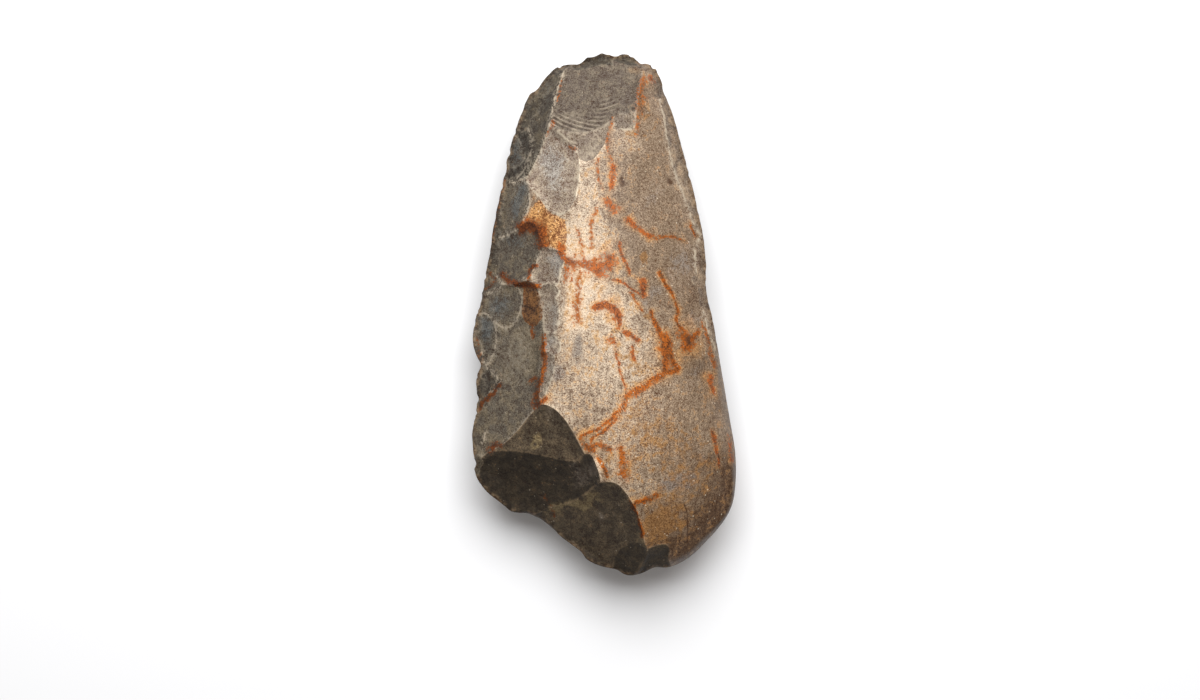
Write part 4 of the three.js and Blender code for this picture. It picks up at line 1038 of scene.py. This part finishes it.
class StoneRecipe(Recipe):
    """Weathered fine-grained stone, laid on layer by layer. Marks of the mesh say where it is
    ground, flaked or freshly broken, where rust, patina and ochre lie, and where shade and sheen are
    painted; noise in object space gives the grain. A layer's method takes the colour under it and
    returns the colour with it."""

    def __init__(self, settings):
        super().__init__("weathered_stone")
        self.settings = settings
        place = self.node("ShaderNodeTexCoord", {}, "Object")
        mm = self.node("ShaderNodeMapping", {"Vector": place, "Scale": TO_MM})
        streaks = self.node("ShaderNodeMapping", {"Vector": place, "Scale": TO_STREAKS})
        self.clouds = self.noise(mm, 0.12, 3.0, 0.55, 0.5)
        self.mottle = self.noise(mm, 0.5, 4.0, 0.62, 0.3)
        self.blotch = self.noise(mm, 1.3, 3.0, 0.65)
        self.grain = self.noise(mm, 3.6, 2.0, 0.75)
        self.dust = self.noise(mm, 7.0, 1.0, 0.5)
        self.streak = self.noise(streaks, 1.0, 3.0, 0.65)
        self.from_speck, self.speck_kind = self.grains(mm, SPECKS_PER_MM)

        self.flaked = {
            name: self.ramp(self.swung(self.mark(name), blotch=swing), -0.06 - fade, 0.06)
            for name, (swing, fade) in BORDERS.items()
        }
        self.old_flake = self.most(self.flaked["grey"], self.flaked["slate"], self.flaked["side"])
        self.any_flake = self.most(self.old_flake, self.flaked["broken"])
        self.on_ground = self.math("SUBTRACT", 1.0, self.any_flake)
        self.dark_stone = self.most(self.flaked["slate"], self.flaked["broken"])
        self.clouded = self.swung(self.clouds, mottle=0.2)
        self.pale = self.swung(self.mark("pale"), mottle=0.16, streak=0.1, blotch=0.08)
        self.cool = self.swung(self.mark("cool"), blotch=0.2, mottle=0.15)
        self.ochre = self.swung(self.mark("ochre"), mottle=0.25, blotch=0.15)

    def swing(self, noise, amount):
        """A noise as a swing of -amount to amount."""
        return self.ramp(getattr(self, noise), 0.3, 0.7, -amount, amount)

    def swung(self, *start, **amounts):
        """The sum of a start, if there is one, and the swings of the named noises."""
        return self.add(*start, *[self.swing(noise, amount) for noise, amount in amounts.items()])

    def shade(self, name):
        """A colour setting as linear values."""
        return linear(getattr(self.settings, name))

    def tint(self, base, name, field, low, high, most=1.0):
        """The base under a named colour, which covers it from none at low to its most at high."""
        return self.mix(self.ramp(field, low, high, 0.0, most), base, self.shade(name))

    def ground(self):
        """The ground face: taupe to tan, browner by its edges, with a pale patina along the crest that is
        partly a painted highlight where the crest faces the light, cool patches and ochre."""
        warm = self.add(self.swung(streak=0.15, mottle=0.35, blotch=0.25), 0.5)
        brown = self.swung(self.mark("brown"), mottle=0.25)
        tan = self.swung(self.clouds, streak=0.05)
        patina = self.tint(self.shade("patina"), "patina_warm", warm, 0.45, 0.95)
        colour = self.tint(self.shade("ground_grey"), "ground_tan", tan, 0.38, 0.62)
        colour = self.tint(colour, "ground_brown", brown, 0.1, 1.0, 0.9)
        # the pale patina: partly real patina, partly a painted highlight where the crest faces the light
        colour = self.mix(self.ramp(self.pale, -0.05, 0.9, 0.0, 0.95), colour, patina)
        colour = self.tint(colour, "ochre", warm, 0.62, 1.0, 0.25)
        colour = self.tint(colour, "cool", self.cool, 0.3, 0.8, 0.75)
        return self.tint(colour, "ochre", self.ochre, 0.2, 0.8, 0.8)

    def scars(self, colour):
        """The scars' own colours, and a frost of patina on the old ones by the butt."""
        for finish, (first, layers) in SCAR_SHADES.items():
            own = self.shade(first)
            for name, field, low, high, most in layers:
                own = self.tint(own, name, getattr(self, field), low, high, most)
            colour = self.mix(self.flaked[finish], colour, own)
        colour = self.brighten(colour, self.mark("tone"))
        frost = self.times(
            self.ramp(self.pale, 0.3, 1.2, 0.0, 0.34), self.ramp(self.blotch, 0.35, 0.6, 0.6, 1.0),
            self.flaked["grey"])
        return self.mix(frost, colour, self.shade("worn"))

    def fill(self, colour, name, first, second, share):
        """Rust of two shades, as far as a mark's crisp edge."""
        edge = self.ramp(self.swung(self.mark(name), grain=0.08), 0.94, 1.06)
        patches = self.swung(self.blotch, grain=0.2, mottle=0.2)
        rust = self.tint(self.shade(first), second, patches, 0.36, 0.64)
        return self.mix(self.times(edge, share), colour, rust)

    def rust_fills(self, colour):
        """The golden patch, and the pond with its bright shore."""
        colour = self.fill(colour, "gold", "gold_deep", "gold", 0.88)
        colour = self.fill(colour, "pond", "pond", "pond_ochre", 0.92)
        pond = self.mark("pond")
        shore = self.times(
            self.ramp(pond, 0.92, 1.02), self.ramp(pond, 1.5, 1.05), self.ramp(self.mottle, 0.4, 0.6))
        return self.mix(self.times(shore, 0.6), colour, self.shade("orange_deep"))

    def freckles(self, colour):
        """Rust freckles in a golden haze, thickest round the veins."""
        haze = self.mark("haze")
        halo = self.times(
            self.ramp(haze, 0.05, 0.8, 0.0, 0.6), self.ramp(self.mottle, 0.35, 0.6, 0.3, 1.0),
            self.on_ground)
        gold = self.brighten(self.shade("gold"), self.ramp(self.pale, 0.0, 0.5, 0.75, 1.0))
        colour = self.mix(halo, colour, gold)
        near_rust = self.swung(
            self.ramp(self.mottle, 0.40, 0.64, 0.0, 0.7), self.times(haze, 0.95), blotch=0.35)
        freckle = self.times(
            self.ramp(self.from_speck, 0.46, 0.24), self.ramp(near_rust, 0.55, 1.05),
            self.between(self.on_ground, 0.15, 0.48))
        rust = self.tint(self.shade("orange_deep"), "haze", self.grain, 0.35, 0.65)
        return self.mix(freckle, colour, rust)

    def vein(self, colour, name, broken_up, dim):
        """The veins of a mark, broken up by noise and dimmed. Returns their cover as well."""
        mark = self.mark(name)
        patches = self.swung(self.blotch, grain=0.2, mottle=0.1)
        rust = self.tint(self.shade(name + "_deep"), name, patches, 0.36, 0.62)
        cover = self.times(
            self.ramp(mark, 0.02, 0.2), self.ramp(self.add(mark, broken_up), 0.12, 0.62))
        return self.mix(self.times(cover, 0.96), colour, self.brighten(rust, dim)), cover

    def veins(self, colour):
        """Orange veins and red ones, darker where the stone is dark, and dark threads and pits.
        Returns what the relief and the later layers need as well: where rust and threads are."""
        broken_up = self.swung(grain=0.26, blotch=0.34, dust=0.10)
        dim = self.times(
            self.between(self.dark_stone, 1.0, 0.42), self.between(self.flaked["broken"], 1.0, 0.7),
            self.ramp(self.pale, 0.0, 0.5, 0.8, 1.0))
        colour, orange = self.vein(colour, "orange", broken_up, dim)
        colour, red = self.vein(colour, "red", broken_up, dim)
        dark = self.ramp(self.swung(self.mark("dark"), grain=0.2), 0.3, 0.8)
        pit = self.brighten(self.shade("dark_fleck"), self.between(self.dark_stone, 0.9, 0.3))
        return self.mix(self.times(dark, 0.85), colour, pit), self.most(orange, red), dark

    def speckle(self, colour, rusty, pitted):
        """Fine speckle with a brown dark side."""
        strength = self.add(
            1.1, self.times(self.old_flake, 0.2), self.times(self.flaked["broken"], 0.15),
            self.times(pitted, 0.25), self.times(self.on_ground, 0.25))
        speckle = self.times(
            self.swung(grain=0.36, dust=0.26, blotch=0.10, mottle=0.06), strength)
        speckle = self.times(
            speckle, self.between(rusty, 1.0, 0.75), self.ramp(self.pale, 0.2, 0.9, 1.0, 0.5))
        cloudy = self.swung(mottle=0.13, blotch=0.08, clouds=0.10)
        speckle = self.add(
            speckle, self.times(self.swing("streak", 0.06), self.on_ground),
            self.times(cloudy, self.any_flake))
        darker = self.mix(1.0, colour, self.shade("grain"), "MULTIPLY")
        colour = self.mix(self.math("MULTIPLY", speckle, -1.4, clamp=True), colour, darker)
        return self.brighten(colour, self.most(self.add(1.0, speckle), 1.0))

    def ripples(self, colour):
        """Painted shade in the troughs of the scars' waves, and a painted highlight in the worn rims'
        colour on their crests in the grey scars by the butt.
        """
        waves = self.mark("waves")
        # painted shade: the troughs of the waves darkened
        colour = self.brighten(colour, self.ramp(waves, -0.1, 0.0, 0.86, 1.0))
        # painted highlight: the crests of the waves in the grey scars lightened towards the worn rims'
        # colour
        crest = self.times(
            self.ramp(waves, 0.01, 0.1), self.ramp(self.mottle, 0.3, 0.6, 0.25, 0.6),
            self.flaked["grey"])
        return self.mix(crest, colour, self.shade("worn"))

    def specks(self, colour, pitted):
        """Dark pits and pale grains, each where its own number says so; on the flaked stone the pale
        grains are fewer and stand for tiny painted glints. Returns the pits too.
        """
        size = self.ramp(self.mottle, 0.3, 0.7, 0.22, 0.42)
        is_speck = self.ramp(self.math("SUBTRACT", size, self.from_speck), 0.0, 0.1)
        few = self.between(pitted, 0.94, 0.70)
        dark = self.times(is_speck, self.math("GREATER_THAN", self.speck_kind, few))
        cover = self.times(dark, self.between(self.dark_stone, 0.75, 0.4))
        colour = self.mix(cover, colour, self.shade("dark_fleck"))
        # pale grains; on the flaked stone, fewer of them, which there are painted glints
        light = self.times(is_speck, self.ramp(self.speck_kind, 0.04, 0.02))
        cover = self.times(light, self.between(self.any_flake, 0.5, 0.2))
        return self.mix(cover, colour, self.shade("light_fleck")), dark

    def rims(self, colour, rusty):
        """Painted shade by the edge, where the faces roll down away from the light, times the lighter and
        darker washes; a thin worn line along the rims that comes and goes, bruises beside it, and grains
        crushed along the edge."""
        from_edge, near = self.mark("edge"), self.mark("near")
        # painted shade: darker within 1.5 mm of the edge, where the faces roll down away from the light, and
        # the shade washes' painted shade and sheen with it
        light = self.times(self.ramp(from_edge, 0.0, 1.5, 0.68, 1.0), self.add(self.mark("shade"), 1.0))
        colour = self.brighten(colour, light)
        thin = self.swung(0.22, blotch=0.08)
        off_rim = self.math("DIVIDE", self.math("ABSOLUTE", self.mark("rim")), thin)
        line = self.times(
            self.ramp(off_rim, 1.4, 0.3), self.ramp(near, 1.0, 0.4),
            self.ramp(self.swung(self.blotch, mottle=0.15), 0.36, 0.58, 0.06, 0.95))
        bruised = self.times(
            self.ramp(near, 1.0, 0.0),
            self.ramp(self.swung(self.blotch, grain=0.15), 0.44, 0.66, 0.0, 0.7),
            self.math("SUBTRACT", 1.0, self.flaked["broken"]))
        worn = self.times(
            self.most(line, bruised), self.mark("wear"), self.ramp(rusty, 0.0, 0.8, 1.0, 0.0))
        rim = self.mix(self.flaked["broken"], self.shade("worn"), self.shade("worn_tan"))
        on_patina = self.times(self.ramp(self.pale, 0.1, 0.6), self.on_ground)
        colour = self.mix(worn, colour, self.mix(on_patina, rim, self.shade("light_fleck")))
        crushed = self.times(self.ramp(from_edge, 1.0, 0.1), self.ramp(self.mottle, 0.42, 0.6, 0.1, 0.6))
        grains = self.tint(self.shade("dark_fleck"), "worn_tan", self.blotch, 0.4, 0.6)
        return self.mix(crushed, colour, grains)

    def relief(self, pits, dark):
        """The normal: grain and mottling stand up, pits and dark threads lie deep."""
        height = self.add(
            self.times(self.grain, 0.7), self.times(self.dust, 0.3), self.times(self.blotch, 0.8),
            self.times(self.mottle, 1.2, self.any_flake), self.times(pits, -0.35),
            self.times(dark, -0.8))
        strength = self.between(self.any_flake, 0.35, 0.8)
        bump = {"Strength": strength, "Distance": BUMP_HEIGHT, "Height": height}
        return self.node("ShaderNodeBump", bump, "Normal")


def stone_material(settings):
    """The stone's layers in their order."""
    stone = StoneRecipe(settings)
    pitted = stone.math("ADD", stone.mark("pitted"), stone.times(stone.on_ground, 0.3), clamp=True)
    colour = stone.scars(stone.ground())
    colour = stone.freckles(stone.rust_fills(colour))
    colour, rusty, dark = stone.veins(colour)
    colour = stone.ripples(stone.speckle(colour, rusty, pitted))
    colour, pits = stone.specks(colour, pitted)
    colour = stone.rims(colour, rusty)
    smooth = stone.between(stone.any_flake, settings.ground_roughness, settings.flake_roughness)
    roughness = stone.add(stone.swung(smooth, grain=0.06, mottle=0.04), stone.times(rusty, 0.12))
    return stone.finished({
        "Base Color": colour, "Roughness": roughness, "Normal": stone.relief(pits, dark),
        "Specular IOR Level": 0.22,
    })


def floor_material(settings):
    """Matt white card."""
    return Recipe("white_card").finished(
        {"Base Color": tuple(settings.card) + (1.0,), "Roughness": 0.9, "Specular IOR Level": 0.1})


# ------------------------------------------------------------------------------------------------
# The add-on
# ------------------------------------------------------------------------------------------------

# the stage, in metres: its card, the level of the stone's edge, the camera and the key light
CARD_HALF = 1.5
EDGE_LEVEL = 0.011
VIEW_CENTRE = (-0.0008, -0.00707)
NEAREST_SEEN = 0.01
KEY_SIZE = 0.46
KEY_PLACE = (0.02, 0.28, 0.42)
KEY_COLOUR = (0.985, 0.995, 1.0)
ROOM_COLOUR = (1.0, 0.96, 0.93, 1.0)
# in millimetres
SENSOR_WIDTH = 36.0
WHITE = 255


def swatch(name, description, red, green, blue):
    """A colour setting, as the display shows it, from levels of 0 to WHITE."""
    return bpy.props.FloatVectorProperty(
        name=name, description=description, subtype="COLOR_GAMMA", min=0, max=1,
        default=(red / WHITE, green / WHITE, blue / WHITE))


class HandAxeStone(bpy.types.PropertyGroup):
    """What a user would change on the stone."""

    seed: bpy.props.IntProperty(name="Seed", description="Chooses the small chips and nicks", default=7)
    chip_count: bpy.props.IntProperty(
        name="Chips", description="Small chips tried along the upper edge", default=90, min=0, max=300)
    nick_depth: bpy.props.FloatProperty(
        name="Nick Depth", description="Depth of the edge's deepest nicks, in design millimetres",
        default=0.45, min=0, max=2)
    ripple_share: bpy.props.FloatProperty(
        name="Ripples", description="Strength of the waves in the flake scars", default=1.0, min=0, max=3)
    ground_roughness: bpy.props.FloatProperty(
        name="Ground Roughness", description="Roughness of the ground faces", default=0.42, subtype="FACTOR")
    flake_roughness: bpy.props.FloatProperty(
        name="Flake Roughness", description="Roughness of the flaked sides", default=0.66, subtype="FACTOR")
    ground_grey: swatch("Ground, Grey", "Taupe of the ground face", 118, 100, 81)
    ground_tan: swatch("Ground, Tan", "Tan of the ground face", 127, 109, 90)
    ground_brown: swatch("Ground, Brown", "Browner stone by the bit and the right side", 72, 49, 29)
    # partly real patina, partly a painted highlight where the crest faces the light
    patina: swatch("Patina", "Pale skin along the crest", 210, 191, 167)
    patina_warm: swatch("Patina, Warm", "Warmer parts of that skin", 188, 152, 110)
    cool: swatch("Cool Patches", "Blue-grey patches of the ground face", 118, 109, 101)
    ochre: swatch("Ochre", "Earth in the surface", 126, 90, 50)
    flake_grey: swatch("Flake, Grey", "Old scars by the butt", 98, 87, 77)
    flake_tan: swatch("Flake, Tan", "Browner stone in those scars", 106, 95, 81)
    flake_cool: swatch("Flake, Cool", "Cooler patches of those scars", 100, 97, 93)
    slate: swatch("Slate", "Scars of the left side", 84, 77, 67)
    slate_brown: swatch("Slate, Brown", "Browner stone in those scars", 94, 84, 68)
    slate_blue: swatch("Slate, Blue", "Blue-grey patches of those scars", 73, 76, 76)
    slate_pale: swatch("Slate, Pale", "Paler stone in the largest of those scars", 122, 110, 92)
    broken: swatch("Broken", "Fresh stone of the broken corner", 46, 39, 30)
    broken_brown: swatch("Broken, Brown", "Browner stone of the broken corner", 57, 48, 36)
    # a painted sheen: the lighter grey where the broken corner's fracture catches the light
    sheen: swatch("Broken, Sheen", "Greyer stone of the broken corner", 70, 62, 54)
    film: swatch("Film", "Earth film on the broken corner", 81, 70, 49)
    side: swatch("Side", "Narrow scars of the right side", 96, 84, 72)
    side_tan: swatch("Side, Tan", "Browner stone in those scars", 122, 104, 84)
    grain: swatch("Grain", "Tint of the dark grain", 154, 108, 68)
    dark_fleck: swatch("Dark Flecks", "Dark grains and pits", 72, 46, 26)
    # pale grains, which on the flaked stone are painted glints
    light_fleck: swatch("Light Flecks", "Pale grains", 226, 212, 188)
    haze: swatch("Rust, Freckles", "Freckles of rust", 154, 104, 60)
    orange: swatch("Rust, Orange", "Young rust", 150, 76, 8)
    orange_deep: swatch("Rust, Brown", "Darker young rust", 106, 56, 8)
    gold_deep: swatch("Rust, Deep Golden", "Darker parts of that patch", 122, 70, 28)
    gold: swatch("Rust, Golden", "The golden patch beside the shoulder", 190, 142, 88)
    pond: swatch("Rust, Pond", "Rust in the hollow of the left side", 78, 50, 26)
    pond_ochre: swatch("Rust, Pond Ochre", "Paler rust in that hollow", 98, 64, 32)
    red: swatch("Rust, Red", "Old rust", 156, 80, 25)
    red_deep: swatch("Rust, Deep Red", "Darker old rust", 106, 51, 14)
    # also the painted highlight on the crests of the grey scars' waves
    worn: swatch("Worn Rims", "Pale worn rims of old scars", 178, 164, 144)
    worn_tan: swatch("Worn Rims, Tan", "Rims of the break, and crushed edges", 138, 116, 90)


class HandAxeStage(bpy.types.PropertyGroup):
    """The studio round the stone."""

    card: bpy.props.FloatVectorProperty(
        name="Card", description="Colour of the floor", subtype="COLOR", default=(0.82, 0.82, 0.83))
    view_width: bpy.props.FloatProperty(
        name="View Width", description="Width of what the camera sees at the stone's edge",
        default=0.239, unit="LENGTH")
    lens: bpy.props.FloatProperty(name="Lens", description="Focal length in millimetres", default=85.0)
    key_power: bpy.props.FloatProperty(
        name="Key Light", description="Power of the soft light beyond the butt", default=4.6, unit="POWER")
    sky: bpy.props.FloatProperty(
        name="Room Light", description="Strength of the even room light", default=0.30)


class HANDAXE_OT_stone(bpy.types.Operator):
    """Build the stone: its whole skin, its marks and its weathering"""

    bl_idname = "hand_axe.stone"
    bl_label = "Stone"

    def execute(self, context):
        settings = context.scene.hand_axe_stone
        points, faces, marks, is_upper = axe_surface(settings)
        marks = add_colour_marks(marks, points, is_upper)
        body = outline_curve()
        low, high = body.min(0), body.max(0)
        unit = (CAD_HIGH.y - CAD_LOW.y) / (high[1] - low[1])
        centre = (np.array(CAD_LOW) + np.array(CAD_HIGH)) / 2
        placed = points * unit
        placed[:, :2] += centre[:2] - unit * (low + high) / 2
        placed[:, 2] += CAD_LOW.z + REST_DEPTH * unit
        mesh = bpy.data.meshes.new("axe_head")
        mesh.from_pydata(placed.tolist(), [], faces.tolist())
        for name, values in marks.items():
            mark = mesh.attributes.new(name, "FLOAT", "POINT")
            mark.data.foreach_set("value", values.astype(np.float32))
        mesh.polygons.foreach_set("use_smooth", np.ones(len(faces), bool))
        mesh.materials.append(stone_material(settings))
        stone = bpy.data.objects.new("axe_head", mesh)
        context.scene.collection.objects.link(stone)
        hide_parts("axe_stone")
        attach(stone, "root")
        return {"FINISHED"}


def soft_light(name, power, size, place, colour):
    """A square area light at place, facing the origin."""
    lamp = bpy.data.lights.new(name, "AREA")
    lamp.energy = power
    lamp.size = size
    lamp.color = colour
    light = bpy.data.objects.new(name, lamp)
    bpy.context.scene.collection.objects.link(light)
    light.location = place
    x, y, z = place
    light.rotation_euler = (math.acos(z / math.hypot(x, y, z)), 0, math.atan2(x, -y))


class HANDAXE_OT_stage(bpy.types.Operator):
    """Set up the white card, the soft key light, the room and the camera that looks straight down"""

    bl_idname = "hand_axe.stage"
    bl_label = "Stage"

    def execute(self, context):
        settings = context.scene.hand_axe_stage
        scene = context.scene
        card = bpy.data.meshes.new("card")
        signs = [(-1, -1), (1, -1), (1, 1), (-1, 1)]
        corners = [(CARD_HALF * x, CARD_HALF * y, CAD_LOW.z) for x, y in signs]
        card.from_pydata(corners, [], [(0, 1, 2, 3)])
        card.materials.append(floor_material(settings))
        floor = bpy.data.objects.new("card", card)
        scene.collection.objects.link(floor)

        soft_light("key", settings.key_power, KEY_SIZE, KEY_PLACE, KEY_COLOUR)
        world = bpy.data.worlds.new("room")
        world.use_nodes = True
        background = world.node_tree.nodes["Background"].inputs
        background["Strength"].default_value = settings.sky
        background["Color"].default_value = ROOM_COLOUR
        scene.world = world
        scene.view_settings.view_transform = "Standard"

        lens = bpy.data.cameras.new("camera")
        lens.lens = settings.lens
        lens.sensor_width = SENSOR_WIDTH
        lens.clip_start = NEAREST_SEEN
        camera = bpy.data.objects.new("camera", lens)
        distance = settings.view_width * lens.lens / SENSOR_WIDTH
        camera.location = (*VIEW_CENTRE, CAD_LOW.z + EDGE_LEVEL + distance)
        scene.collection.objects.link(camera)
        scene.camera = camera
        return {"FINISHED"}


class HANDAXE_PT_panel(bpy.types.Panel):
    """Lists what can be built and the settings it is built from"""

    bl_idname = "HANDAXE_PT_panel"
    bl_label = "Stone Hand Axe"
    bl_space_type = "VIEW_3D"
    bl_region_type = "UI"
    bl_category = "Hand Axe"

    def draw(self, context):
        for operator, settings in (
            (HANDAXE_OT_stage, context.scene.hand_axe_stage),
            (HANDAXE_OT_stone, context.scene.hand_axe_stone),
        ):
            box = self.layout.box()
            box.operator(operator.bl_idname)
            for name in settings.bl_rna.properties.keys():
                if name not in ("rna_type", "name"):
                    box.prop(settings, name)


CLASSES = (HandAxeStone, HandAxeStage, HANDAXE_OT_stone, HANDAXE_OT_stage, HANDAXE_PT_panel)


def register():
    """Makes the classes and their settings known to Blender."""
    for made in CLASSES:
        bpy.utils.register_class(made)
    bpy.types.Scene.hand_axe_stone = bpy.props.PointerProperty(type=HandAxeStone)
    bpy.types.Scene.hand_axe_stage = bpy.props.PointerProperty(type=HandAxeStage)


def unregister():
    """Undoes register."""
    del bpy.types.Scene.hand_axe_stone
    del bpy.types.Scene.hand_axe_stage
    for made in reversed(CLASSES):
        bpy.utils.unregister_class(made)


def main():
    """Builds the stage and the stone."""
    register()
    bpy.ops.hand_axe.stage()
    bpy.ops.hand_axe.stone()


if __name__ == "__main__":
    main()
